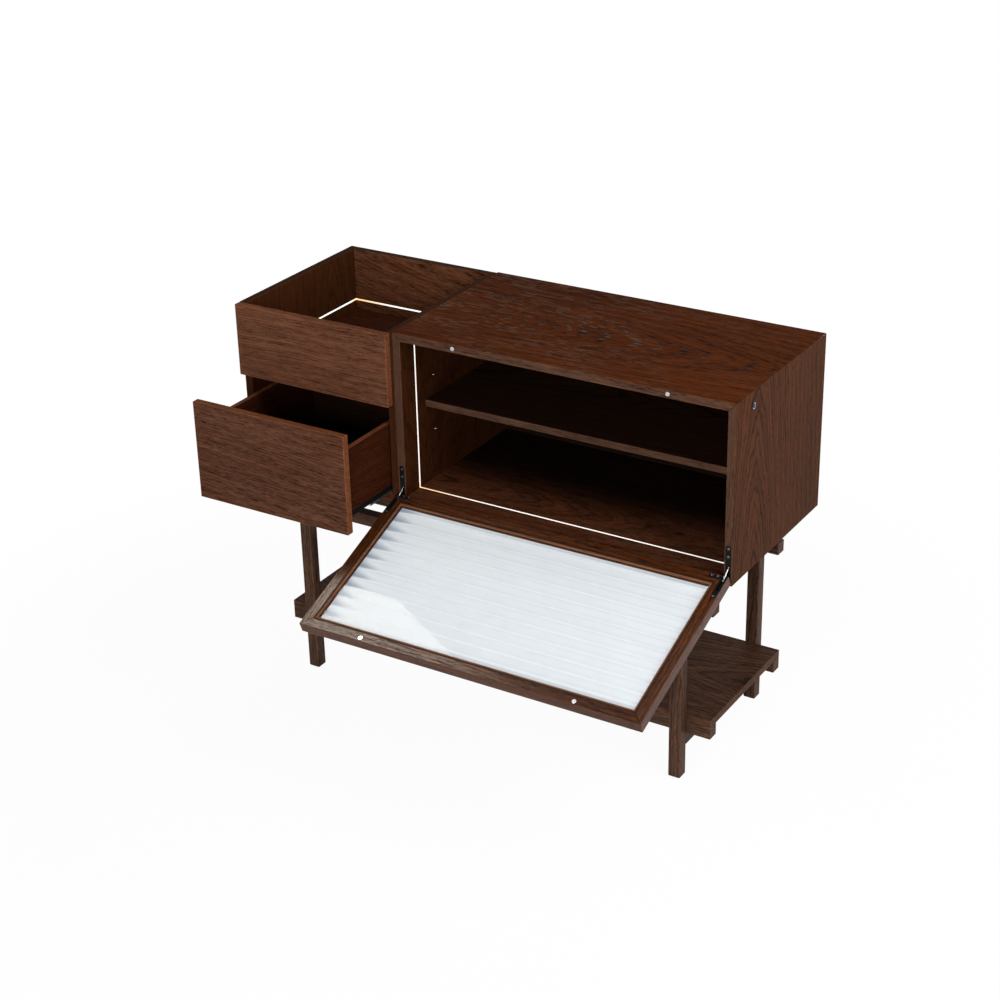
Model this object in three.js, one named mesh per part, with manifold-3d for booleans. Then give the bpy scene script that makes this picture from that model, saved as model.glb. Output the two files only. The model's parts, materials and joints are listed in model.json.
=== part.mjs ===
// Office credenza on a stacked-rail stand: an open-topped bin over a drawer, beside a lit cabinet that
// a drop-down fluted flap closes. Millimetres, +Z up, the front faces -Y, drawer and flap stand open.
import * as THREE from 'three';
import { mergeVertices } from 'three/addons/utils/BufferGeometryUtils.js';
import Module from 'manifold-3d';

const wasm = await Module();
wasm.setup();

// Case
const LENGTH = 1200;
const CASE_DEPTH = 426;
const CASE_BOTTOM = 500;
const CASE_HEIGHT = 395;
const BIN_MODULE = 404;
const BIN_STEP = 2;
const PANEL = 18;
const CABINET_BACK = 9;
const EDGE = 1;
const MITRE_GAP = 0.3;

// Fronts, all laid over the case's front edges
const REVEAL = 1;
const FRONT_DROP = 2;
const FRONT_SEAM_GAP = 6.5;
const BIN_FRONT_HEIGHT = 165;
const DRAWER_FRONT_GAP = 3;

// Stand
const STOCK = 28;
const FOOT_CHAMFER = 2;
const LEG_INSET_X = 113;
const LEG_INSET_Y = 13;
const RAIL_INSET_X = 57;
const LOWER_RAIL_Z = 100;
const UPPER_BEAM_DROP = 106;
const STAND_SHELF = 18;

// Cabinet shelf and its pins
const SHELF = 16;
const SHELF_RISE = 214;
const SHELF_SETBACK = 87;
const SHELF_PLAY = 0.5;
const PIN_DIAMETER = 5;
const PIN_REACH = 9;
const PIN_INSET = 37;
const PIN_PITCH = 64;
const PIN_HOLE_DEPTH = 9;

// Light strips let into the walls
const STRIP_WIDTH = 5.5;
const STRIP_DEPTH = 4;
const CABINET_STRIP_Y = 54;
const BIN_STRIP_RISE = 23;

// Drawer and its undermount slides
const DRAWER_OPEN = 167;
const DRAWER_SIDE = 12;
const DRAWER_BACK_ROOM = 28;
const DRAWER_HEADROOM = 47;
const DRAWER_SIDE_PLAY = 4;
const DRAWER_BOTTOM = 6;
const DRAWER_BOTTOM_LIFT = 10;
const GROOVE_DEPTH = 5;
const SLIDE_HEIGHT = 17;
const SLIDE_CHANNEL = 8.5;
const SLIDE_RUNNER = 4.25;
const SLIDE_WIDTH = 26;
const SLIDE_WALL = 1.5;
const SLIDE_RIB = 6;
const SLIDE_PLAY = 0.5;
const SLIDE_INSET = 3;

// Flap: a mitred frame that holds a wavy panel in a groove and, inside it, a clear pane under a bead
const FLAP_GAP = 1;
const FLAP_THICKNESS = 25;
const FLAP_MEMBER = 28;
const BEAD_WIDTH = 7;
const BEAD_HEIGHT = 4;
const BEAD_SINK = 0.5;
const PANE = 2;
const FLUTES = 12;
const FLUTE_HEIGHT = 8;
const FLUTED_SHEET = 1.8;
const FLUTED_LIP = 3;
const FLUTE_STEPS = 8;

// Flap hinges: one link each side, pinned to a plate in the case and a plate in the flap
const FLAP_OPEN = 111;
const LINK_SHARE = 0.3;
const CASE_PIVOT_Y = 6;
const CASE_PIVOT_RISE = 40;
const FLAP_PIVOT_DEPTH = 4;
const FLAP_PIVOT_RISE = 9;
const LINK_RADIUS = 3;
const LINK_THICKNESS = 4;
const HINGE_PIN = 3;
const HINGE_PIN_LENGTH = 10;
const PIN_CLEARANCE = 0.35;
const PLATE_WIDTH = 12;
const CASE_PLATE_FOOT = 13.5;
const CASE_PLATE_TOP = 89;
const CASE_PLATE_DEPTH = 12;
const FLAP_PLATE_TOP = 60;
const FLAP_PLATE_DEPTH = 10;
const FLAP_ARM_LENGTH = 26;
const FLAP_ARM_WIDTH = 9;
const FLAP_ARM_DEPTH = 3;
const FLAP_ARM_RISE = 3;

// Small fittings
const CATCH_DIAMETER = 10;
const CATCH_INSET = 149;
const CATCH_LENGTH = 12;
const STRIKE_THICKNESS = 2.5;
const SWITCH_Y = 76;
const SWITCH_DROP = 31;
const SWITCH_FLANGE = 17;
const SWITCH_BARREL = 13;
const SWITCH_BORE = 10.6;
const SWITCH_BUTTON = 10;
const SWITCH_DEPTH = 15;
const SWITCH_PROUD = 1.5;
const SWITCH_FLOOR = 2;
const BUTTON_PROUD = 0.75;
const BUTTON_TRAVEL = 1.5;
const DRIVER_LENGTH = 118;
const DRIVER_DEPTH = 42;
const DRIVER_HEIGHT = 20;
const DRIVER_INSET = 60;
const INLET_DIAMETER = 8;
const INLET_DEPTH = 12;

// Gap left round a piece that is let into another, how far a cutter runs past the face that it opens,
// the sides of a small round, the distance within which corners count as one, and the steps in a
// millimetre that corners are rounded to, so that faces meant to touch lie in one plane
const FIT = 0.3;
const OVERCUT = 1;
const SIDES = 16;
const WELD = 1e-4;
const STEPS_PER_MM = 8192;

// Levels and lines that the pieces share
const LEFT = -LENGTH / 2;
const RIGHT = LENGTH / 2;
const SEAM = LEFT + BIN_MODULE;
const TOP = CASE_BOTTOM + CASE_HEIGHT;
const BIN_TOP = TOP - BIN_STEP;
const BIN_IN = [LEFT + PANEL, SEAM - PANEL];
const CABINET_IN = [SEAM + PANEL, RIGHT - PANEL];
const CASE_FLOOR = CASE_BOTTOM + PANEL;
const CASE_BACK_IN = CASE_DEPTH - PANEL;
const BIN_FRONT_FOOT = BIN_TOP - BIN_FRONT_HEIGHT;
const FRONTS_FOOT = CASE_BOTTOM - FRONT_DROP;
const FRONTS_X = [LEFT + REVEAL, SEAM - FRONT_SEAM_GAP];
const UPPER_BEAM_Z = CASE_BOTTOM - UPPER_BEAM_DROP;

const WALNUT = { color: 0x3f2418, roughness: 0.55, metalness: 0 };
const WALNUT_EDGE = { color: 0x4a3326, roughness: 0.6, metalness: 0 };
const BEAD_WOOD = { color: 0x7a4626, roughness: 0.55, metalness: 0 };
const OPAL = { color: 0xe6ebee, roughness: 0.35, metalness: 0 };
const CLEAR = { color: 0xf4f8f9, roughness: 0.05, metalness: 0, transparent: true, opacity: 0.25 };
const GLOW = { color: 0xfff3e4, roughness: 0.4, metalness: 0, emissive: 0xfff3e4 };
const BLACK_METAL = { color: 0x17181a, roughness: 0.45, metalness: 0.8 };
const STEEL = { color: 0xb9bcbd, roughness: 0.3, metalness: 1 };
const BLACK_PLASTIC = { color: 0x202123, roughness: 0.6, metalness: 0 };

const credenza = new THREE.Group();

function piece(name, geometry, finish, parent = credenza) {
  const mesh = new THREE.Mesh(geometry, new THREE.MeshStandardMaterial(finish));
  mesh.name = name;
  parent.add(mesh);
}

// Carries a flat outline along an axis. The outline is read as (y, z) along x, (x, z) along y and
// (x, y) along z. A positive edge eases the rims of both ends.
function prism(axis, outline, [from, to], edge = 0) {
  const shape = new THREE.Shape(outline.map(([u, v]) => new THREE.Vector2(u, v)));
  const geometry = new THREE.ExtrudeGeometry(shape, {
    depth: to - from - 2 * edge,
    bevelEnabled: edge > 0,
    bevelThickness: edge,
    bevelSize: edge,
    bevelOffset: -edge,
    bevelSegments: 1,
  });
  const X = new THREE.Vector3(1, 0, 0);
  const Y = new THREE.Vector3(0, 1, 0);
  const Z = new THREE.Vector3(0, 0, 1);
  const turn = new THREE.Matrix4();
  if (axis === 'x') {
    turn.makeBasis(Y, Z, X).setPosition(from + edge, 0, 0);
  } else if (axis === 'y') {
    turn.makeBasis(X, Z, Y.negate()).setPosition(0, to - edge, 0);
  } else {
    turn.setPosition(0, 0, from + edge);
  }
  geometry.applyMatrix4(turn);
  const corners = geometry.attributes.position.array;
  corners.forEach((value, i) => {
    corners[i] = Math.round(value * STEPS_PER_MM) / STEPS_PER_MM;
  });
  return geometry;
}

function rectangle([u0, u1], [v0, v1]) {
  return [[u0, v0], [u1, v0], [u1, v1], [u0, v1]];
}

// A board with all twelve edges eased
function slab([x0, x1], [y0, y1], [z0, z1], edge = EDGE) {
  const outline = [
    [x0 + edge, y0], [x1 - edge, y0], [x1, y0 + edge], [x1, y1 - edge],
    [x1 - edge, y1], [x0 + edge, y1], [x0, y1 - edge], [x0, y0 + edge],
  ];
  return prism('z', outline, [z0, z1], edge);
}

// A plain box, mostly used as a cutter
function box(x, y, z) {
  return prism('z', rectangle(x, y), z);
}

function arc(cu, cv, radius, start, end, steps) {
  const points = [];
  for (let i = 0; i <= steps; i += 1) {
    const angle = start + ((end - start) * i) / steps;
    points.push([cu + radius * Math.cos(angle), cv + radius * Math.sin(angle)]);
  }
  return points;
}

function circle(cu, cv, diameter, sides = SIDES) {
  return arc(cu, cv, diameter / 2, 0, 2 * Math.PI, sides).slice(0, -1);
}

// An upright slot shape: straight sides, round top, and a round or square foot
function upright(cu, [v0, v1], width, squareFoot = false) {
  const radius = width / 2;
  const top = arc(cu, v1 - radius, radius, 0, Math.PI, SIDES / 2);
  const foot = squareFoot
    ? [[cu - radius, v0], [cu + radius, v0]]
    : arc(cu, v0 + radius, radius, Math.PI, 2 * Math.PI, SIDES / 2);
  return [...foot, ...top];
}

function toSolid(geometry) {
  const bare = geometry.clone();
  bare.deleteAttribute('normal');
  bare.deleteAttribute('uv');
  const merged = mergeVertices(bare, WELD);
  const vertProperties = new Float32Array(merged.attributes.position.array);
  const triVerts = new Uint32Array(merged.index.array);
  return new wasm.Manifold(new wasm.Mesh({ numProp: 3, vertProperties, triVerts }));
}

function toGeometry(solid) {
  const mesh = solid.getMesh();
  const geometry = new THREE.BufferGeometry();
  geometry.setAttribute('position', new THREE.BufferAttribute(mesh.vertProperties, 3));
  geometry.setIndex(new THREE.BufferAttribute(mesh.triVerts, 1));
  const loose = geometry.toNonIndexed();
  loose.computeVertexNormals();
  return loose;
}

function cut(geometry, ...tools) {
  return toGeometry(tools.reduce((solid, tool) => solid.subtract(toSolid(tool)), toSolid(geometry)));
}

function join(geometry, ...others) {
  return toGeometry(others.reduce((solid, other) => solid.add(toSolid(other)), toSolid(geometry)));
}

// A group whose pieces are drawn in the closed position and turned about a pivot line along X
function hinged(parent, [y, z], degrees) {
  const turning = new THREE.Group();
  turning.position.set(0, y, z);
  turning.rotation.x = THREE.MathUtils.degToRad(degrees);
  const drawn = new THREE.Group();
  drawn.position.set(0, -y, -z);
  turning.add(drawn);
  parent.add(turning);
  return drawn;
}

function grow([low, high], by) {
  return [low - by, high + by];
}

function around(middle, width) {
  return [middle - width / 2, middle + width / 2];
}

function between(a, b) {
  return a < b ? [a, b] : [b, a];
}

// Stand: two leg frames, tied by three pairs of long rails that lie across them
const RAILS_X = [LEFT + RAIL_INSET_X, RIGHT - RAIL_INSET_X];
const LEG_TOP = CASE_BOTTOM - STOCK;
const LEG_LINES_X = {
  left: [LEFT + LEG_INSET_X, LEFT + LEG_INSET_X + STOCK],
  right: [RIGHT - LEG_INSET_X - STOCK, RIGHT - LEG_INSET_X],
};
const LEG_LINES_Y = {
  front: [LEG_INSET_Y, LEG_INSET_Y + STOCK],
  rear: [CASE_DEPTH - LEG_INSET_Y - STOCK, CASE_DEPTH - LEG_INSET_Y],
};
const BETWEEN_LEGS_Y = [LEG_LINES_Y.front[1], LEG_LINES_Y.rear[0]];
const INNER_LINES_Y = {
  front: [BETWEEN_LEGS_Y[0], BETWEEN_LEGS_Y[0] + STOCK],
  rear: [BETWEEN_LEGS_Y[1] - STOCK, BETWEEN_LEGS_Y[1]],
};

for (const [side, x] of Object.entries(LEG_LINES_X)) {
  for (const [end, y] of Object.entries(LEG_LINES_Y)) {
    piece(`leg_${end}_${side}`, slab(x, y, [0, LEG_TOP], FOOT_CHAMFER), WALNUT_EDGE);
  }
  const lower = slab(x, BETWEEN_LEGS_Y, [LOWER_RAIL_Z - STOCK, LOWER_RAIL_Z]);
  const upper = slab(x, BETWEEN_LEGS_Y, [UPPER_BEAM_Z - STOCK, UPPER_BEAM_Z]);
  piece(`lower_cross_rail_${side}`, lower, WALNUT_EDGE);
  piece(`upper_cross_rail_${side}`, upper, WALNUT_EDGE);
}
for (const end of ['front', 'rear']) {
  const lower = slab(RAILS_X, INNER_LINES_Y[end], [LOWER_RAIL_Z, LOWER_RAIL_Z + STOCK]);
  const upper = slab(RAILS_X, INNER_LINES_Y[end], [UPPER_BEAM_Z, UPPER_BEAM_Z + STOCK]);
  const top = slab(RAILS_X, LEG_LINES_Y[end], [LEG_TOP, CASE_BOTTOM]);
  piece(`lower_long_rail_${end}`, lower, WALNUT_EDGE);
  piece(`upper_beam_${end}`, upper, WALNUT_EDGE);
  piece(`top_rail_${end}`, top, WALNUT_EDGE);
}
const STAND_SHELF_Z = [LOWER_RAIL_Z + STOCK, LOWER_RAIL_Z + STOCK + STAND_SHELF];
piece('lower_shelf', slab(RAILS_X, BETWEEN_LEGS_Y, STAND_SHELF_Z), WALNUT);

// A rectangular light strip set flush into four walls, and the groove that takes it
function ringAlong(axis, inner, depth, across) {
  const [u, v] = inner;
  const outer = prism(axis, rectangle(grow(u, depth), grow(v, depth)), across);
  return cut(outer, prism(axis, rectangle(u, v), grow(across, OVERCUT)));
}

const BIN_FLOOR_Z = [BIN_FRONT_FOOT, BIN_FRONT_FOOT + PANEL];
const BIN_STRIP = around(BIN_FLOOR_Z[1] + BIN_STRIP_RISE, STRIP_WIDTH);
const BIN_HOLLOW = [BIN_IN, [0, CASE_BACK_IN]];
const binStripGroove = ringAlong('z', BIN_HOLLOW, STRIP_DEPTH + FIT, grow(BIN_STRIP, FIT));
piece('bin_light_strip', ringAlong('z', BIN_HOLLOW, STRIP_DEPTH, BIN_STRIP), GLOW);

const CABINET_STRIP = around(CABINET_STRIP_Y, STRIP_WIDTH);
const CABINET_HOLLOW = [CABINET_IN, [CASE_FLOOR, TOP - PANEL]];
const cabinetStripGroove = ringAlong('y', CABINET_HOLLOW, STRIP_DEPTH + FIT, grow(CABINET_STRIP, FIT));
piece('cabinet_light_strip', ringAlong('y', CABINET_HOLLOW, STRIP_DEPTH, CABINET_STRIP), GLOW);

// Left-hand module: bin above, drawer bay below
const DEPTH_Y = [0, CASE_DEPTH];
const BIN_SIDE_Z = [CASE_BOTTOM, BIN_TOP];
piece('bin_left_side', cut(slab([LEFT, BIN_IN[0]], DEPTH_Y, BIN_SIDE_Z), binStripGroove), WALNUT);
piece('bin_right_side', cut(slab([BIN_IN[1], SEAM], DEPTH_Y, BIN_SIDE_Z), binStripGroove), WALNUT);
piece('bin_back', cut(slab(BIN_IN, [CASE_BACK_IN, CASE_DEPTH], BIN_SIDE_Z), binStripGroove), WALNUT);
piece('drawer_bay_bottom', slab(BIN_IN, [0, CASE_BACK_IN], [CASE_BOTTOM, CASE_FLOOR]), WALNUT);
piece('bin_floor', slab(BIN_IN, [0, CASE_BACK_IN], BIN_FLOOR_Z), WALNUT);
const binFront = slab(FRONTS_X, [-PANEL, 0], [BIN_FRONT_FOOT, BIN_TOP]);
piece('bin_front', cut(binFront, binStripGroove), WALNUT);

// Cabinet: four boards mitred at the corners, a back let in between them and a loose shelf on pins
const MITRED_Z = [CASE_FLOOR, TOP - PANEL];
const CABINET_X = [SEAM, RIGHT];
const HINGE_X = { left: SEAM + PANEL / 2, right: RIGHT - PANEL / 2 };
const CATCH_X = [SEAM + CATCH_INSET, RIGHT - CATCH_INSET];
const CATCH_Z = TOP - PANEL / 2;
const CASE_PIVOT = [CASE_PIVOT_Y, CASE_BOTTOM + CASE_PIVOT_RISE];
const SHELF_Z = [CASE_BOTTOM + SHELF_RISE - SHELF, CASE_BOTTOM + SHELF_RISE];
const PIN_Z = SHELF_Z[0] - PIN_DIAMETER / 2 - FIT;
const SHELF_Y = [SHELF_SETBACK, CASE_DEPTH - CABINET_BACK - FIT];
const PIN_LINES_Y = [SHELF_Y[0] + PIN_INSET, SHELF_Y[1] - PIN_INSET];
const CASE_PLATE_Z = [CASE_BOTTOM + CASE_PLATE_FOOT, CASE_BOTTOM + CASE_PLATE_TOP];

function casePlatePocket(x) {
  const outline = upright(x, grow(CASE_PLATE_Z, FIT), PLATE_WIDTH + 2 * FIT);
  return prism('y', outline, [-OVERCUT, CASE_PLATE_DEPTH + FIT]);
}

// Pins stand in the middle row of holes; the rows above and below stay free
function sideBoard(outer, inner, hingeX, switchHole) {
  const outline = [[outer, CASE_BOTTOM], [outer, TOP], [inner, MITRED_Z[1]], [inner, MITRED_Z[0]]];
  const into = Math.sign(outer - inner);
  const holes = [];
  const pins = [];
  for (const y of PIN_LINES_Y) {
    const root = inner + into * PIN_HOLE_DEPTH;
    pins.push(prism('x', circle(y, PIN_Z, PIN_DIAMETER), between(root, inner - into * PIN_REACH)));
    for (const z of [PIN_Z - PIN_PITCH, PIN_Z + PIN_PITCH]) {
      holes.push(prism('x', circle(y, z, PIN_DIAMETER), between(root, inner - into * OVERCUT)));
    }
  }
  const anticlockwise = into > 0 ? outline : [...outline].reverse();
  const board = prism('y', anticlockwise, DEPTH_Y, EDGE);
  const tools = [cabinetStripGroove, casePlatePocket(hingeX), ...holes, ...switchHole];
  return join(cut(board, ...tools), ...pins);
}

const SWITCH_Z = TOP - SWITCH_DROP;
const switchHole = prism('x', circle(SWITCH_Y, SWITCH_Z, SWITCH_BARREL + 2 * FIT), [
  RIGHT - SWITCH_DEPTH - FIT,
  RIGHT + OVERCUT,
]);
piece('cabinet_left_side', sideBoard(SEAM, CABINET_IN[0], HINGE_X.left, []), WALNUT);
piece('cabinet_right_side', sideBoard(RIGHT, CABINET_IN[1], HINGE_X.right, [switchHole]), WALNUT);

function flatBoard(outerZ, innerZ) {
  const outline = [
    [CABINET_X[0] + MITRE_GAP, outerZ],
    [CABINET_X[1] - MITRE_GAP, outerZ],
    [CABINET_IN[1] - MITRE_GAP, innerZ],
    [CABINET_IN[0] + MITRE_GAP, innerZ],
  ];
  const anticlockwise = outerZ < innerZ ? outline : outline.reverse();
  return cut(prism('y', anticlockwise, DEPTH_Y, EDGE), cabinetStripGroove);
}

const catchHoles = CATCH_X.map((x) =>
  prism('y', circle(x, CATCH_Z, CATCH_DIAMETER + 2 * FIT), [-OVERCUT, CATCH_LENGTH + FIT]));
piece('cabinet_top', cut(flatBoard(TOP, MITRED_Z[1]), ...catchHoles), WALNUT);
piece('cabinet_bottom', flatBoard(CASE_BOTTOM, MITRED_Z[0]), WALNUT);
piece('cabinet_back', slab(CABINET_IN, [CASE_DEPTH - CABINET_BACK, CASE_DEPTH], MITRED_Z), WALNUT);
const SHELF_X = grow(CABINET_IN, -SHELF_PLAY);
piece('cabinet_shelf', slab(SHELF_X, SHELF_Y, SHELF_Z), WALNUT);

// Drawer: drawn shut, then pulled out with its slides
const drawer = new THREE.Group();
drawer.position.y = -DRAWER_OPEN;
const slideMiddles = new THREE.Group();
slideMiddles.position.y = -DRAWER_OPEN / 2;
credenza.add(drawer, slideMiddles);

const DRAWER_X = grow(BIN_IN, -DRAWER_SIDE_PLAY);
const DRAWER_Z = [CASE_FLOOR + SLIDE_HEIGHT, BIN_FRONT_FOOT - DRAWER_HEADROOM];
const DRAWER_IN = grow(DRAWER_X, -DRAWER_SIDE);
const DRAWER_DEPTH = CASE_BACK_IN - DRAWER_BACK_ROOM;
const DRAWER_BACK_Y = DRAWER_DEPTH - DRAWER_SIDE;
const DRAWER_BOTTOM_Z = [
  DRAWER_Z[0] + DRAWER_BOTTOM_LIFT,
  DRAWER_Z[0] + DRAWER_BOTTOM_LIFT + DRAWER_BOTTOM,
];
const bottomGroove = box(
  grow(DRAWER_IN, GROOVE_DEPTH),
  [-OVERCUT, DRAWER_BACK_Y],
  grow(DRAWER_BOTTOM_Z, FIT),
);
const DRAWER_FRONT_Z = [FRONTS_FOOT, BIN_FRONT_FOOT - DRAWER_FRONT_GAP];
piece('drawer_front', slab(FRONTS_X, [-PANEL, 0], DRAWER_FRONT_Z), WALNUT, drawer);
const drawerSides = { left: [DRAWER_X[0], DRAWER_IN[0]], right: [DRAWER_IN[1], DRAWER_X[1]] };
for (const [side, x] of Object.entries(drawerSides)) {
  const board = slab(x, [0, DRAWER_DEPTH], DRAWER_Z);
  piece(`drawer_${side}_side`, cut(board, bottomGroove), WALNUT, drawer);
}
piece('drawer_back', slab(DRAWER_IN, [DRAWER_BACK_Y, DRAWER_DEPTH], DRAWER_Z), WALNUT, drawer);
const DRAWER_BOTTOM_X = grow(DRAWER_IN, GROOVE_DEPTH - FIT);
const drawerBottom = slab(DRAWER_BOTTOM_X, [FIT, DRAWER_BACK_Y - FIT], DRAWER_BOTTOM_Z, FIT);
piece('drawer_bottom', drawerBottom, WALNUT, drawer);

// Each slide is a channel on the case, a ribbed runner in it, and a grooved rail under the drawer side
const SLIDE_Y = [SLIDE_INSET, DRAWER_DEPTH];
const SLIDE_BASE = CASE_FLOOR + SLIDE_WALL;
const RUNNER_TOP = SLIDE_BASE + SLIDE_PLAY + SLIDE_RUNNER;
const CHANNEL_TOP = CASE_FLOOR + SLIDE_CHANNEL;
const slideMiddle = {
  left: BIN_IN[0] + SLIDE_PLAY + SLIDE_WIDTH / 2,
  right: BIN_IN[1] - SLIDE_PLAY - SLIDE_WIDTH / 2,
};
for (const [side, x] of Object.entries(slideMiddle)) {
  const outer = SLIDE_WIDTH / 2;
  const inner = outer - SLIDE_WALL;
  const runner = inner - SLIDE_PLAY;
  const rib = SLIDE_RIB / 2;
  const groove = rib + SLIDE_PLAY;
  const rail = inner - SLIDE_WALL;
  const channel = [
    [x - outer, CASE_FLOOR], [x + outer, CASE_FLOOR], [x + outer, CHANNEL_TOP], [x + inner, CHANNEL_TOP],
    [x + inner, SLIDE_BASE], [x - inner, SLIDE_BASE], [x - inner, CHANNEL_TOP], [x - outer, CHANNEL_TOP],
  ];
  const foot = SLIDE_BASE + SLIDE_PLAY;
  const ribTop = DRAWER_Z[0] - SLIDE_WALL - SLIDE_PLAY;
  const ribbed = [
    [x - runner, foot], [x + runner, foot], [x + runner, RUNNER_TOP], [x + rib, RUNNER_TOP],
    [x + rib, ribTop], [x - rib, ribTop], [x - rib, RUNNER_TOP], [x - runner, RUNNER_TOP],
  ];
  const railFoot = RUNNER_TOP + SLIDE_PLAY;
  const grooveTop = DRAWER_Z[0] - SLIDE_WALL;
  const grooved = [
    [x - rail, railFoot], [x - groove, railFoot], [x - groove, grooveTop], [x + groove, grooveTop],
    [x + groove, railFoot], [x + rail, railFoot], [x + rail, DRAWER_Z[0]], [x - rail, DRAWER_Z[0]],
  ];
  piece(`slide_channel_${side}`, prism('y', channel, SLIDE_Y), BLACK_METAL);
  piece(`slide_runner_${side}`, prism('y', ribbed, SLIDE_Y), STEEL, slideMiddles);
  piece(`slide_rail_${side}`, prism('y', grooved, SLIDE_Y), BLACK_METAL, drawer);
}

// Flap linkage: as the flap falls, the links swing the other way and carry its foot out of the case
const FLAP_X = [SEAM + REVEAL, RIGHT - REVEAL];
const FLAP_Z = [FRONTS_FOOT, TOP - REVEAL];
const FLAP_Y = [-FLAP_GAP - FLAP_THICKNESS, -FLAP_GAP];
const FLAP_PIVOT = [FLAP_Y[1] - FLAP_PIVOT_DEPTH, CASE_BOTTOM + FLAP_PIVOT_RISE];
const links = hinged(credenza, CASE_PIVOT, -LINK_SHARE * FLAP_OPEN);
const flap = hinged(links, FLAP_PIVOT, (1 + LINK_SHARE) * FLAP_OPEN);

// The bead and the clear pane lie in a rebate of the frame's inner face, the wavy panel in a groove behind it
const BEAD_Y = [FLAP_Y[1] - BEAD_SINK - BEAD_HEIGHT, FLAP_Y[1] - BEAD_SINK];
const PANE_Y = [BEAD_Y[0] - FIT - PANE, BEAD_Y[0] - FIT];
const FLUTED_Y = [FLAP_Y[0] + FLUTED_LIP + FIT, FLAP_Y[0] + FLUTED_LIP + FIT + FLUTE_HEIGHT + FLUTED_SHEET];
const SIGHT_X = grow(FLAP_X, -FLAP_MEMBER);
const SIGHT_Z = grow(FLAP_Z, -FLAP_MEMBER);
const REBATE_X = grow(SIGHT_X, BEAD_WIDTH);
const REBATE_Z = grow(SIGHT_Z, BEAD_WIDTH);

// Frame members: mitred lengths, with pockets for the hinge plates and the strikes
const rebate = box(REBATE_X, [PANE_Y[0] - FIT, FLAP_Y[1] + OVERCUT], REBATE_Z);
const groove = box(REBATE_X, grow(FLUTED_Y, FIT), REBATE_Z);
const FLAP_PLATE_Z = [FLAP_Z[0], CASE_BOTTOM + FLAP_PLATE_TOP];
const FLAP_PLATE_Y = [FLAP_Y[1] - FLAP_PLATE_DEPTH, FLAP_Y[1]];
const ARM_Z = [FLAP_Z[0] + FLAP_ARM_RISE, FLAP_Z[0] + FLAP_ARM_RISE + FLAP_ARM_WIDTH];
const ARM_Y = [FLAP_Y[1] - FLAP_ARM_DEPTH, FLAP_Y[1]];

// The flap plate: a tongue up the stile with a square foot, and an arm along the bottom rail
function flapPlate(x, side, growth) {
  const [y0, y1] = FLAP_PLATE_Y;
  const [z0, z1] = FLAP_PLATE_Z;
  const inward = side === 'left' ? 1 : -1;
  const armEnds = between(x, x + inward * (PLATE_WIDTH / 2 + FLAP_ARM_LENGTH));
  const outline = upright(x, [z0 - growth, z1 + growth], PLATE_WIDTH + 2 * growth, true);
  const proud = growth > 0 ? OVERCUT : 0;
  const tongue = prism('y', outline, [y0 - growth, y1 + proud]);
  const arm = box(grow(armEnds, growth), [ARM_Y[0] - growth, ARM_Y[1] + proud], grow(ARM_Z, growth));
  return join(tongue, arm);
}

function strikeDisc(x, growth) {
  const proud = growth > 0 ? OVERCUT : 0;
  const depth = [FLAP_Y[1] - STRIKE_THICKNESS - growth, FLAP_Y[1] + proud];
  return prism('y', circle(x, CATCH_Z, CATCH_DIAMETER + 2 * growth), depth);
}

const platePockets = Object.entries(HINGE_X).map(([side, x]) => flapPlate(x, side, FIT));
const strikePockets = CATCH_X.map((x) => strikeDisc(x, FIT));
const [left, right] = FLAP_X;
const [foot, head] = FLAP_Z;
const [sightLeft, sightRight] = SIGHT_X;
const [sightFoot, sightHead] = SIGHT_Z;
const [railLeft, railRight] = grow(FLAP_X, -MITRE_GAP);
const [shoulderLeft, shoulderRight] = grow(SIGHT_X, -MITRE_GAP);
const members = {
  flap_bottom_rail: [
    [railLeft, foot], [railRight, foot], [shoulderRight, sightFoot], [shoulderLeft, sightFoot],
  ],
  flap_top_rail: [
    [shoulderLeft, sightHead], [shoulderRight, sightHead], [railRight, head], [railLeft, head],
  ],
  flap_left_stile: [[left, foot], [sightLeft, sightFoot], [sightLeft, sightHead], [left, head]],
  flap_right_stile: [[right, foot], [right, head], [sightRight, sightHead], [sightRight, sightFoot]],
};
for (const [name, outline] of Object.entries(members)) {
  const length = prism('y', outline, FLAP_Y, EDGE);
  piece(name, cut(length, rebate, groove, ...platePockets, ...strikePockets), WALNUT, flap);
}

const IN_REBATE_X = grow(REBATE_X, -FIT);
const IN_REBATE_Z = grow(REBATE_Z, -FIT);
const beadHole = box(SIGHT_X, grow(BEAD_Y, OVERCUT), SIGHT_Z);
piece('glazing_bead', cut(box(IN_REBATE_X, BEAD_Y, IN_REBATE_Z), beadHole), BEAD_WOOD, flap);
piece('clear_pane', box(IN_REBATE_X, PANE_Y, IN_REBATE_Z), CLEAR, flap);

// The panel's section: a sheet bent in even waves, which are lowest at the edges of the sight
const FLUTE_PITCH = (SIGHT_Z[1] - SIGHT_Z[0]) / FLUTES;
const FLUTE_MIDDLE = FLUTED_Y[1] - FLUTE_HEIGHT / 2;
const FLUTED_RUN = IN_REBATE_Z[1] - IN_REBATE_Z[0];
const fluteStations = Math.ceil((FLUTE_STEPS * FLUTED_RUN) / FLUTE_PITCH);
const fluteFace = Array.from({ length: fluteStations + 1 }, (_, i) => {
  const z = IN_REBATE_Z[0] + (FLUTED_RUN * i) / fluteStations;
  const turn = (2 * Math.PI * (z - SIGHT_Z[0])) / FLUTE_PITCH;
  return [FLUTE_MIDDLE - (FLUTE_HEIGHT / 2) * Math.cos(turn), z];
});
const fluteBack = fluteFace.map(([y, z]) => [y - FLUTED_SHEET, z]).reverse();
const flutedOutline = [...fluteBack, ...fluteFace];
piece('fluted_panel', prism('x', flutedOutline, IN_REBATE_X), OPAL, flap);

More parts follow.
